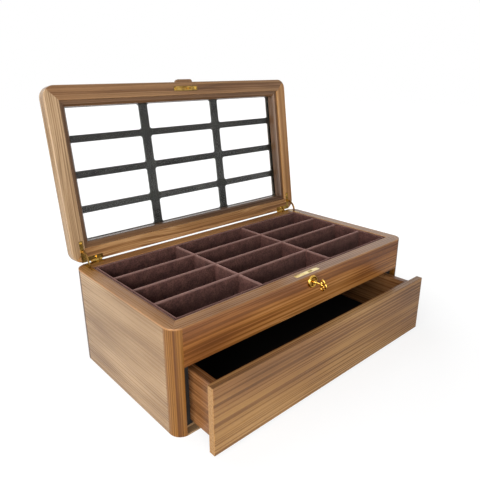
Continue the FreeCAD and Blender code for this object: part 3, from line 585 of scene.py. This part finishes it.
class Shaping(Enum):
    """What one solid does to another."""

    CUT = "DIFFERENCE"
    FUSE = "UNION"


def shape(piece: bpy.types.Object, tool: bpy.types.Object, how: Shaping) -> bpy.types.Object:
    """Cut a tool out of a piece, or fuse it on, and throw the tool away.

    Args:
        piece: The piece.
        tool: The other solid.
        how: What it does to the piece.

    Returns:
        The same piece.
    """
    select_only(piece)
    modifier = piece.modifiers.new("shape", "BOOLEAN")
    modifier.object = tool
    modifier.operation = how.value
    modifier.solver = "EXACT"
    bpy.ops.object.modifier_apply(modifier=modifier.name)
    bpy.data.objects.remove(tool)
    return piece


def placed(piece: bpy.types.Object, move: Matrix) -> bpy.types.Object:
    """Move a piece and put its place into its mesh."""
    piece.matrix_world = move @ piece.matrix_world
    select_only(piece)
    bpy.ops.object.transform_apply()
    return piece


def copied(piece: bpy.types.Object, name: str, move: Matrix) -> bpy.types.Object:
    """Copy a piece with a mesh of its own and move it.

    Args:
        piece: The piece to copy.
        name: The copy's name.
        move: Where the copy goes from where the piece is.

    Returns:
        The copy.
    """
    twin = piece.copy()
    twin.data = piece.data.copy()
    twin.name = name
    bpy.context.scene.collection.objects.link(twin)
    return placed(twin, move)


def joined(name: str, pieces: Sequence[bpy.types.Object]) -> bpy.types.Object:
    """Join pieces into one object under a new name."""
    bpy.ops.object.select_all(action="DESELECT")
    for piece in pieces:
        piece.select_set(True)
    bpy.context.view_layer.objects.active = pieces[0]
    bpy.ops.object.join()
    return new_piece(name)


def dress(name: str, material: bpy.types.Material) -> None:
    """Give a board or fitting of the frame its finish."""
    for slot in bpy.data.objects[name].material_slots:
        slot.material = material
    LOG.info("dressed %s in %s", name, material.name)


def fit(piece: bpy.types.Object, body: str, slot: str, material: bpy.types.Material,
        *stands_for: str) -> bpy.types.Object:
    """Finish a new piece and hang it on the body that carries it.

    Args:
        piece: The piece, in its place.
        body: The body that it moves with.
        slot: The record's material slot; not used.
        material: Its finish.
        stands_for: The frame's nodes that it takes the place of.

    Returns:
        The piece.
    """
    select_only(piece)
    bpy.ops.object.transform_apply()
    bpy.ops.object.shade_smooth_by_angle(angle=math.radians(35))
    piece.data.materials.clear()
    piece.data.materials.append(material)
    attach(piece, body)
    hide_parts(*stands_for)
    LOG.info("modelled %s: %d faces", piece.name, len(piece.data.polygons))
    return piece


def scaled(profile: Sequence[Span]) -> list[Span]:
    """Turn a profile in millimetres into metres."""
    return [(height * MM, radius * MM) for height, radius in profile]


def mm(*sizes: float) -> Vector:
    """Turn three sizes in millimetres into a vector in metres."""
    return Vector(sizes) * MM


def outward(centre: Vector) -> Matrix:
    """Return the move that points a turned piece out of the box's front."""
    return Matrix.Translation(centre) @ Matrix.Rotation(math.pi / 2, 4, "X")


def corners(node: str) -> tuple[Vector, Vector]:
    """Return the lowest and highest corners of a node of the frame."""
    low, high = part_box(node)
    return Vector(low), Vector(high)


def solid_boxes(node: str, move: Matrix | None = None) -> list[tuple[Vector, Vector]]:
    """Find the box round each separate solid of a node.

    Args:
        node: The node's name.
        move: A turn that is given to the points first.

    Returns:
        The lowest and highest corner of each solid, ordered by place.
    """
    solids = bmesh.new()
    solids.from_mesh(bpy.data.objects[node].data)
    bmesh.ops.remove_doubles(solids, verts=solids.verts, dist=TINY)
    if move is not None:
        bmesh.ops.transform(solids, matrix=move, verts=solids.verts)
    boxes = []
    waiting = set(solids.verts)
    while waiting:
        start = waiting.pop()
        island, reached = {start}, [start]
        while reached:
            vert = reached.pop()
            for line in vert.link_edges:
                other = line.other_vert(vert)
                if other not in island:
                    island.add(other)
                    reached.append(other)
        waiting -= island
        points = [vert.co.copy() for vert in island]
        boxes.append(tuple(Vector([end(point[axis] for point in points) for axis in range(3)])
                           for end in (min, max)))
    solids.free()
    return sorted(boxes, key=lambda box: tuple(round(part, 5) for part in box[0]))


# Sub-assemblies

@dataclass
class Hinge:
    """The line that the lid turns on, and the angle that it stands open at."""

    joints: Sequence[dict[str, object]]
    joint: str = "lid_hinge"
    place: Vector = field(init=False)
    angle: float = field(init=False)

    def __post_init__(self) -> None:
        """Read the line and the angle from the frame's joints."""
        joint = next(item for item in self.joints if item["name"] == self.joint)
        self.place = Vector(joint["pos_m"])
        self.angle = -math.radians(min(joint["range_deg"]))

    def opening(self) -> Matrix:
        """Return the turn from the shut lid to the open one."""
        turn = Matrix.Rotation(-self.angle, 4, "X")
        return Matrix.Translation(self.place) @ turn @ Matrix.Translation(-self.place)

    def closing(self) -> Matrix:
        """Return the turn from the open lid to the shut one."""
        return self.opening().inverted()


@dataclass
class Studio:
    """The white ground, the lamps and the camera at the photograph's place."""

    target: Vector = field(default_factory=lambda: mm(-25.41, 0.0, 190.01))
    distance: float = 815.06 * MM
    azimuth: float = math.radians(41.34)
    elevation: float = math.radians(19.43)
    roll: float = math.radians(-0.38)
    sensor: float = 36.0
    lens: float = 35.94
    ground: float = 12.0
    shadow_reach: float = 0.33
    fill: float = 0.16
    paper: str = "#F2F2F2"
    glow: float = 1.12
    plain_share: float = 0.72
    aim: Vector = field(default_factory=lambda: mm(0, 0, 120))

    def build(self) -> None:
        """Set up the ground, the world, the lamps and the camera."""
        self.lay_ground()
        self.light_world()
        self.hang_lamps()
        self.place_camera()

    def lay_ground(self) -> None:
        """Lay a white sweep that stays white to the camera but keeps the box's shadow."""
        bpy.ops.object.select_all(action="DESELECT")
        bpy.ops.mesh.primitive_plane_add(size=self.ground)
        floor = new_piece("ground")
        material = bpy.data.materials.new("White paper sweep")
        material.use_nodes = True
        tree = material.node_tree
        tree.nodes.clear()
        rays = add_node(tree, "LightPath")
        paper = add_node(tree, "BsdfDiffuse", {"Color": linear(self.paper)})
        white = add_node(tree, "Emission", {"Color": linear("#FFFFFF"), "Strength": self.glow})
        seen = add_node(tree, "Math", {
            0: rays.outputs["Is Camera Ray"], 1: rays.outputs["Is Transmission Ray"]},
            operation="MAXIMUM")
        where = add_node(tree, "TexCoord").outputs["Object"]
        away = add_node(tree, "VectorMath", {0: where}, operation="LENGTH")
        plain = add_node(tree, "MapRange", {
            "Value": away.outputs["Value"], "From Min": self.shadow_reach,
            "From Max": self.shadow_reach * 2, "To Min": self.plain_share, "To Max": 1.0})
        share = add_node(tree, "Math", {0: seen, 1: plain}, operation="MULTIPLY")
        surface = add_node(tree, "MixShader", {0: share, 1: paper, 2: white})
        add_node(tree, "OutputMaterial", {"Surface": surface})
        floor.data.materials.append(material)

    def light_world(self) -> None:
        """Surround the box with plain white: full to the eye and the gloss, less as a lamp."""
        world = bpy.data.worlds.new("White studio")
        bpy.context.scene.world = world
        world.use_nodes = True
        tree = world.node_tree
        tree.nodes.clear()
        rays = add_node(tree, "LightPath")
        seen = add_node(tree, "Math", {
            0: rays.outputs["Is Camera Ray"], 1: rays.outputs["Is Transmission Ray"]},
            operation="MAXIMUM")
        shown = add_node(tree, "Math", {
            0: seen, 1: rays.outputs["Is Glossy Ray"]}, operation="MAXIMUM")
        strength = add_node(tree, "MapRange", {
            "Value": shown, "To Min": self.fill, "To Max": 1.0})
        sky = add_node(tree, "Background", {"Color": linear("#FFFFFF"), "Strength": strength})
        add_node(tree, "OutputWorld", {"Surface": sky})

    def hang_lamps(self) -> None:
        """Hang soft lamps low at the left and the front and high behind, so the tray stays dark."""
        lamps = {
            "left softbox": ((-1.35, -0.45, 0.58), 1.0, 17.5),
            "front softbox": ((-1.0, -1.9, 0.50), 0.8, 28.0),
            "overhead softbox": ((-0.3, 0.9, 1.7), 1.4, 13.0),
        }
        for name, (place, size, power) in lamps.items():
            lamp = bpy.data.lights.new(name, "AREA")
            lamp.size = size
            lamp.energy = power
            holder = bpy.data.objects.new(name, lamp)
            bpy.context.scene.collection.objects.link(holder)
            holder.location = place
            line = self.aim - Vector(place)
            holder.rotation_euler = line.to_track_quat("-Z", "Y").to_euler()

    def place_camera(self) -> None:
        """Stand the camera where the photograph was taken from."""
        flat = math.cos(self.elevation)
        back = Vector((-math.sin(self.azimuth) * flat, -math.cos(self.azimuth) * flat,
                       math.sin(self.elevation)))
        right = Vector((0.0, 0.0, 1.0)).cross(back).normalized()
        up = back.cross(right)
        turned_right = right * math.cos(self.roll) + up * math.sin(self.roll)
        turned_up = up * math.cos(self.roll) - right * math.sin(self.roll)
        camera = bpy.data.cameras.new("camera")
        camera.sensor_width = self.sensor
        camera.lens = self.lens
        holder = bpy.data.objects.new("camera", camera)
        bpy.context.scene.collection.objects.link(holder)
        axes = Matrix((turned_right, turned_up, back)).transposed().to_4x4()
        holder.matrix_world = Matrix.Translation(self.target + back * self.distance) @ axes
        bpy.context.scene.camera = holder


@dataclass
class Case:
    """The case's boards, posts, lipping, shelf and drawer guides."""

    # The panel's pale, greyed palette is partly the veneer's tone and partly a painted reflection
    # of the white room's haze on the lit side.
    panel: Walnut = Walnut(
        "Quartered walnut veneer", dark="#70523A", brown="#8A6D4D", tan="#9B7E5D", pale="#B39572",
        figure=0.15, streak=24 * MM, rings=0.42, lines=0.18, tone=1.0)
    fascia: Walnut = Walnut(
        "Figured walnut veneer", figure=0.15, streak=18 * MM, rings=0.28, lines=0.5, tone=0.9)
    post: Walnut = Walnut(
        "Straight-grained walnut post", dark="#3E200B", brown="#643C15", tan="#794F1D",
        pale="#8F622A", figure=0.05, streak=7 * MM, rings=0.6, lines=0.6, tone=0.3)
    lipping: Walnut = Walnut(
        "Walnut lipping", dark="#5C3A1F", brown="#906236", tan="#AA7A48", pale="#C09460",
        figure=0.05, streak=8 * MM, rings=0.25, lines=0.12, gloss=0.5)
    stained: Plain = Plain("Black-stained board", "#0B0A09", "#15120F", 0.6)

    def build(self) -> None:
        """Dress every board of the case."""
        for side in ("left", "right"):
            dress(f"side_panel_{side}", self.panel.material(f"{side} side", Grain.ALONG_Y))
            dress(f"rim_{side}", self.lipping.material(f"{side} rim", Grain.ALONG_Y))
            for end in ("front", "rear"):
                name = f"corner_post_{end}_{side}"
                dress(name, self.post.material(f"{end} {side} post", Grain.UPRIGHT))
            dress(f"drawer_guide_{side}", self.stained.material())
        for end in ("front", "rear"):
            dress(f"rim_{end}", self.lipping.material(f"{end} rim", Grain.ALONG_X))
        dress("back_panel", self.panel.material("back", Grain.ALONG_X))
        dress("bottom_board", self.panel.material("bottom", Grain.ALONG_X))
        dress("tray_shelf", self.panel.material("shelf", Grain.ALONG_X))
        dress("front_fascia", self.fascia.material("fascia", Grain.ALONG_X))


@dataclass
class Tray:
    """The tray of twelve velvet compartments: lining, walls, floor and crossed dividers."""

    velvet: Velvet = Velvet("Aubergine cotton velvet")
    # The dividers' velvet has paler upward faces painted in: a painted highlight on their tops.
    velvet_with_painted_tops: Velvet = Velvet("Aubergine velvet over board", painted_top_light=0.14)
    lining: float = 2.3 * MM
    lining_edge: float = 1.1 * MM
    soft_edge: float = 2.9 * MM
    cross_drop: float = 0.8 * MM
    tuck: float = 0.5 * MM

    def build(self) -> None:
        """Dress the tray in velvet, line the case and lay the dividers."""
        flat = self.velvet.material()
        dress("tray_floor", flat)
        for side in ("front", "rear", "left", "right"):
            dress(f"tray_wall_{side}", flat)
        self.line_case(flat)
        self.lay_dividers(self.velvet_with_painted_tops.material())

    def line_case(self, cloth: bpy.types.Material) -> None:
        """Line the case above the shelf with a band of board under cloth.

        Args:
            cloth: The velvet.
        """
        low, high = corners("case_lining")
        wall = Vector((self.lining, self.lining, 0.0))
        spare = Vector((0.0, 0.0, self.lining))
        band = block("velvet_lining", low, high)
        shape(band, block("room", low + wall - spare, high - wall + spare), Shaping.CUT)
        soften(band, self.lining_edge, at_height(high.z))
        fit(band, "root", "velvet", cloth, "case_lining")

    def lay_dividers(self, cloth: bpy.types.Material) -> None:
        """Lay three long boards, and short ones between them, padded along their tops.

        Args:
            cloth: The velvet.
        """
        rows = solid_boxes("long_dividers")
        long_boards = [self.padded_board(f"long_board_{number}", low, high, 0)
                       for number, (low, high) in enumerate(rows)]
        fit(joined("velvet_long_dividers", long_boards), "root", "velvet", cloth, "long_dividers")
        short_boards = []
        for low, high in solid_boxes("cross_dividers"):
            starts = [low.y] + [row_high.y - self.tuck for _, row_high in rows]
            ends = [row_low.y + self.tuck for row_low, _ in rows] + [high.y]
            for start, end in zip(starts, ends):
                near = Vector((low.x, start, rows[0][0].z))
                far = Vector((high.x, end, high.z - self.cross_drop))
                name = f"short_board_{len(short_boards)}"
                short_boards.append(self.padded_board(name, near, far, 1))
        fit(joined("velvet_cross_dividers", short_boards), "root", "velvet", cloth,
            "cross_dividers")

    def padded_board(self, name: str, low: Vector, high: Vector, along: int) -> bpy.types.Object:
        """Shape one board with the soft round top that cloth gives it.

        Args:
            name: The board's name.
            low: Its lowest corner.
            high: Its highest corner.
            along: The axis that it runs along, 0 for X or 1 for Y.

        Returns:
            The board.
        """
        on_top = at_height(high.z)

        def long_edge(line: bmesh.types.BMEdge) -> bool:
            start, end = (vert.co for vert in line.verts)
            return on_top(line) and abs(start[along] - end[along]) > TINY

        return soften(block(name, low, high), self.soft_edge, long_edge, 5)


@dataclass
class Drawer:
    """The drawer, its lining and the push latch behind it."""

    front: Walnut = Walnut(
        "Striped walnut veneer", dark="#54361B", brown="#825A33", tan="#9A7242", pale="#AE8758",
        figure=0.06, streak=26 * MM, rings=0.14, lines=0.6, tone=0.65)
    box: Walnut = Walnut(
        "Solid walnut drawer side", dark="#4A2D19", brown="#6E4727", tan="#885B35",
        pale="#A0744B", figure=0.15, streak=8 * MM, rings=0.5, lines=0.3)
    cloth: Velvet = Velvet(
        "Black cotton velvet", deep="#060505", nap="#12100F", bloom="#55504E", sheen=0.15)
    nylon: Plain = Plain("Moulded black nylon", "#141414", "#1C1C1C", 0.45)
    cloth_thickness: float = 1.1 * MM
    cloth_grid: tuple[int, int] = (110, 50)
    ripple: float = 0.5 * MM
    ripple_size: float = 45 * MM

    def build(self) -> None:
        """Dress the drawer and the latch."""
        dress("drawer_front", self.front.material("drawer front", Grain.ALONG_X))
        dress("drawer_inner_front", self.box.material("drawer inner front", Grain.ALONG_X))
        dress("drawer_back", self.box.material("drawer back", Grain.ALONG_X))
        dress("drawer_bottom", self.box.material("drawer bottom", Grain.ALONG_X))
        for side in ("left", "right"):
            dress(f"drawer_side_{side}", self.box.material(f"drawer {side} side", Grain.ALONG_Y))
        self.lay_cloth()
        for name in ("latch_housing", "latch_plunger"):
            dress(name, self.nylon.material())

    def lay_cloth(self) -> None:
        """Lay a loose cloth on the drawer's bottom, not quite flat."""
        low, high = corners("drawer_lining")
        size = high - low
        bpy.ops.object.select_all(action="DESELECT")
        columns, rows = self.cloth_grid
        bpy.ops.mesh.primitive_grid_add(x_subdivisions=columns, y_subdivisions=rows, size=1.0,
                                        location=(low + high) / 2)
        cloth = new_piece("drawer_cloth")
        cloth.scale = (size.x, size.y, 1.0)
        bpy.ops.object.transform_apply()
        texture = bpy.data.textures.new("cloth_ripple", "CLOUDS")
        texture.noise_scale = self.ripple_size
        lift = cloth.modifiers.new("ripple", "DISPLACE")
        lift.texture, lift.direction, lift.strength = texture, "Z", self.ripple
        bpy.ops.object.modifier_apply(modifier=lift.name)
        wall = cloth.modifiers.new("thickness", "SOLIDIFY")
        wall.thickness, wall.offset = self.cloth_thickness, 0.0
        bpy.ops.object.modifier_apply(modifier=wall.name)
        fit(cloth, "drawer", "black_cloth", self.cloth.material(), "drawer_lining")


@dataclass
class Lid:
    """The glazed lid: rails, stiles, beads, pane, mask and lift tab."""

    hinge: Hinge
    stile: Walnut = Walnut(
        "Striped walnut stile", dark="#5E4530", brown="#917352", tan="#AA8C6A", pale="#BA9D7B",
        figure=0.15, streak=6 * MM, rings=0.42, lines=0.5, tone=0.35)
    golden: Walnut = Walnut(
        "Golden walnut stile", dark="#613F21", brown="#9A6C3E", tan="#B68754", pale="#C89A67",
        figure=0.15, streak=6 * MM, rings=0.55, tone=0.35)
    rail: Walnut = Walnut(
        "Walnut rail", dark="#4F3520", brown="#724F31", tan="#876341", pale="#9A754F",
        figure=0.15, streak=8 * MM)
    figured: Walnut = Walnut(
        "Figured walnut rail", dark="#5F3F25", brown="#8A6038", tan="#A77D50", pale="#C0966A",
        figure=0.9, streak=7 * MM, rings=1.1)
    bead: Walnut = Walnut(
        "Red-brown walnut bead", dark="#332115", brown="#543A25", tan="#6C4D32", pale="#836144",
        figure=0.1, streak=5 * MM, rings=0.5, lines=0.5)
    glass: Glass = Glass("Clear float glass")
    mask: Plain = Plain("Black mask board", "#1B1A13", "#24231A", 0.6)

    def build(self) -> None:
        """Dress the lid's pieces."""
        tilt = self.hinge.angle
        for end, wood in (("front", self.rail), ("rear", self.figured)):
            dress(f"lid_rail_{end}", wood.material(f"{end} rail", Grain.ALONG_X, tilt))
            dress(f"bead_{end}", self.bead.material(f"{end} bead", Grain.ALONG_X, tilt))
        for side, wood in (("left", self.stile), ("right", self.golden)):
            dress(f"lid_stile_{side}", wood.material(f"{side} stile", Grain.ALONG_Y, tilt))
            dress(f"bead_{side}", self.bead.material(f"{side} bead", Grain.ALONG_Y, tilt))
        dress("lift_tab", self.rail.material("lift tab", Grain.ALONG_X, tilt))
        dress("glass_pane", self.glass.material())
        dress("window_mask", self.mask.material())


@dataclass
class Hardware:
    """Hinges, stays, screws, lock, strike and key, all in brass.

    Profiles (heights and radii), places and corners without a unit are in millimetres. The
    hook and its notch are measured from the hook's tip, in the middle of the box.
    """

    hinge: Hinge
    brass: Brass = Brass("Polished brass", colour="#E5BC5C", aged="#B07F2C")
    # The hinges' and strike's brass is coloured darker than polished brass: a painted dark
    # reflection.
    dull: Brass = Brass("Dulled brass", colour="#B9974F", aged="#805F2B", roughness=0.22)
    plate: Brass = Brass("Brushed brass plate", colour="#F7E2A6", aged="#E6C87E", roughness=0.26)
    sides: int = 32
    screw: Sequence[Span] = ((-10.0, 0.1), (-8.5, 0.99), (-1.1, 1.1), (-0.05, 2.2),
                             (0.03, 2.112), (0.12, 1.32))
    screw_head: float = 2.2 * MM
    screw_slot: float = 0.7 * MM
    first_turn: float = 0.4
    next_turn: float = 0.9
    plate_corner: float = 1.6 * MM
    plate_edge: float = 0.35 * MM
    slot_place: Sequence[float] = (8.5, 0.0, 0.0)
    slot_reach: Sequence[float] = (4.5, 1.3, 5.0)
    slot_corner: float = 1.25 * MM
    strike_thickness: float = 2 * MM
    strike_screws: float = 21.7 * MM
    strike_hole: Sequence[Span] = ((-0.1, 2.3), (1.2, 1.1), (3.0, 1.1))
    hook: Sequence[Sequence[float]] = ((5.0, -0.9, 0.0), (12.0, 0.9, 0.5))
    hook_edge: float = 0.25 * MM
    notch: Sequence[Sequence[float]] = ((3.0, -3.0, 1.8), (9.0, 3.0, 5.4))
    escutcheon: Sequence[Span] = (
        (0.0, 9.9), (0.4, 10.3), (1.5, 10.2), (2.4, 9.6), (3.2, 8.9), (3.3, 8.4), (3.1, 7.9),
        (2.2, 7.3), (1.2, 6.6), (0.9, 5.5), (1.0, 0.5))
    bore: Sequence[Span] = ((-5.0, 2.3), (5.0, 2.3))
    keyhole: Sequence[Sequence[float]] = ((-1.6, -5.0, -7.4), (1.6, 5.0, 0.0))
    shank: float = 1.9 * MM
    collar: Sequence[Span] = (
        (4.1, 1.9), (4.1, 2.6), (4.4, 3.1), (5.4, 3.1), (5.7, 2.6), (6.0, 2.3), (7.2, 2.5),
        (7.9, 2.3), (8.3, 1.9), (9.2, 1.7), (14.0, 1.6), (17.5, 1.8), (19.0, 2.3), (20.5, 2.2),
        (22.5, 1.2))
    bow_out: float = 21.5 * MM
    lobe: float = 3.2 * MM
    lobe_section: float = 1.45 * MM
    lobe_flatness: float = 0.85
    lobe_places: Sequence[Span] = ((0.8, 5.0), (0.8, -5.0), (-3.2, 0.0))
    hair: float = 0.03 * MM
    bit: Sequence[Sequence[float]] = ((-1.2, -1.6, -7.0), (1.2, 0.0, 0.0))
    bit_edge: float = 0.2 * MM

    def build(self) -> None:
        """Dress the hinges, stays and lock, and make the pieces that show."""
        metal, dull = self.brass.material(), self.dull.material()
        for side in ("left", "right"):
            for name in ("hinge_case_leaf", "hinge_lid_leaf", "quadrant_stay"):
                dress(f"{name}_{side}", dull)
        for name in ("hinge_pins", "lock_body", "lock_bolt"):
            dress(name, metal)
        self.drive_screws("case_screws", "root", Matrix(), metal)
        self.drive_screws("lid_screws", "lid", self.hinge.opening(), metal)
        self.fit_lock_plate(self.plate.material())
        self.fit_strike(dull)
        self.fit_escutcheon(metal)
        self.make_key(metal)

    def drive_screws(self, node: str, body: str, swing: Matrix, metal: bpy.types.Material) -> None:
        """Set slotted screws where the frame has plain ones.

        Args:
            node: The frame's node of screws.
            body: The body that they are driven into.
            swing: The body's turn from shut to where it stands.
            metal: Their finish.
        """
        pattern = turned("screw", scaled(self.screw), self.sides)
        reach = Vector((2 * self.screw_head, self.screw_slot / 2, self.screw_head))
        slot = block("slot", Vector((-reach.x, -reach.y, -self.screw_slot)), reach)
        shape(pattern, slot, Shaping.CUT)
        from_below = body == "lid"
        flip = Matrix.Rotation(math.pi if from_below else 0.0, 4, "X")
        screws = []
        for number, (low, high) in enumerate(solid_boxes(node, swing.inverted())):
            seat = (low + high) / 2
            seat.z = low.z if from_below else high.z
            twist = Matrix.Rotation(self.first_turn + number * self.next_turn, 4, "Z")
            screws.append(copied(pattern, f"screw_{number}",
                                 swing @ Matrix.Translation(seat) @ flip @ twist))
        bpy.data.objects.remove(pattern)
        fit(joined(f"slotted_{node}", screws), body, "brass", metal, node)

    def fit_lock_plate(self, metal: bpy.types.Material) -> None:
        """Let the lock's plate into the front rim, with a round-ended slot for the hook.

        Args:
            metal: Its finish.
        """
        low, high = corners("lock_plate")
        piece = fitting_plate("lock_face_plate", low, high, self.plate_corner, self.plate_edge,
                              high.z)
        middle, reach = (low + high) / 2 + mm(*self.slot_place), mm(*self.slot_reach)
        slot = soften(block("slot", middle - reach, middle + reach), self.slot_corner, upright, 5)
        fit(shape(piece, slot, Shaping.CUT), "root", "brass", metal, "lock_plate")

    def fit_strike(self, metal: bpy.types.Material) -> None:
        """Screw the strike plate with its hook under the lid's front rail.

        Args:
            metal: Its finish.
        """
        (low, high), = solid_boxes("strike_plate", self.hinge.closing())
        face = high.z - self.strike_thickness
        piece = fitting_plate("strike_face_plate", Vector((low.x, low.y, face)), high,
                              self.plate_corner, self.plate_edge, face)
        tip = Vector((0.0, (low.y + high.y) / 2, low.z))
        drop = Vector((0.0, 0.0, face - low.z))
        (hook_low, hook_high), (notch_low, notch_high) = self.hook, self.notch
        hook = block("hook", tip + mm(*hook_low), tip + mm(*hook_high) + drop)
        notch = block("notch", tip + mm(*notch_low), tip + mm(*notch_high))
        shape(hook, notch, Shaping.CUT)
        shape(piece, soften(hook, self.hook_edge, upright, 2), Shaping.FUSE)
        for side in (-1, 1):
            hole = turned("hole", scaled(self.strike_hole), self.sides)
            placed(hole, Matrix.Translation((side * self.strike_screws, tip.y, face)))
            shape(piece, hole, Shaping.CUT)
        fit(placed(piece, self.hinge.opening()), "lid", "brass", metal, "strike_plate")

    def fit_escutcheon(self, metal: bpy.types.Material) -> None:
        """Turn the escutcheon, a dished disc with a round lip, and cut its keyhole.

        Args:
            metal: Its finish.
        """
        low, high = corners("escutcheon")
        centre = Vector((0.0, high.y, (low.z + high.z) / 2))
        piece = placed(turned("turned_escutcheon", scaled(self.escutcheon), 2 * self.sides),
                       outward(centre))
        bore = placed(turned("bore", scaled(self.bore), self.sides), outward(centre))
        slot = block("slot", *(centre + mm(*corner) for corner in self.keyhole))
        shape(piece, shape(bore, slot, Shaping.FUSE), Shaping.CUT)
        fit(piece, "root", "brass", metal, "escutcheon")

    def make_key(self, metal: bpy.types.Material) -> None:
        """Turn the key's shank and collars, and fuse on its bit and its clover bow.

        Args:
            metal: Its finish.
        """
        low, high = corners("escutcheon")
        centre = Vector((0.0, high.y, (low.z + high.z) / 2))
        inner = corners("key")[1].y - centre.y
        key = turned("clover_key", [(-inner, self.shank), *scaled(self.collar)], self.sides)
        placed(key, outward(centre))
        for number, (out, up) in enumerate(scaled(self.lobe_places)):
            bpy.ops.object.select_all(action="DESELECT")
            # A hair's breadth apart, so that no facets of two rings lie in one plane.
            bpy.ops.mesh.primitive_torus_add(
                location=centre + Vector((number * self.hair, out - self.bow_out, up)),
                rotation=(0.0, math.pi / 2, 0.0), major_radius=self.lobe,
                minor_radius=self.lobe_section, major_segments=40, minor_segments=16)
            ring = new_piece("lobe")
            with editing(ring):
                bpy.ops.transform.resize(value=(self.lobe_flatness, 1.0, 1.0),
                                         center_override=tuple(centre))
            shape(key, placed(ring, Matrix()), Shaping.FUSE)
        end = centre + Vector((0.0, inner - self.bit_edge, 0.0))
        bit = block("bit", *(end + mm(*corner) for corner in self.bit))
        shape(key, soften(bit, self.bit_edge, lambda line: True, 2), Shaping.FUSE)
        fit(key, "key", "brass", metal, "key")


def main() -> None:
    """Build the studio and the box."""
    logging.basicConfig(level=logging.INFO, format="%(message)s")
    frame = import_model()
    bpy.context.scene.view_settings.view_transform = "Standard"
    hinge = Hinge(frame["joints"])
    for assembly in (Studio(), Case(), Tray(), Drawer(), Lid(hinge), Hardware(hinge)):
        assembly.build()


if __name__ == "__main__":
    main()
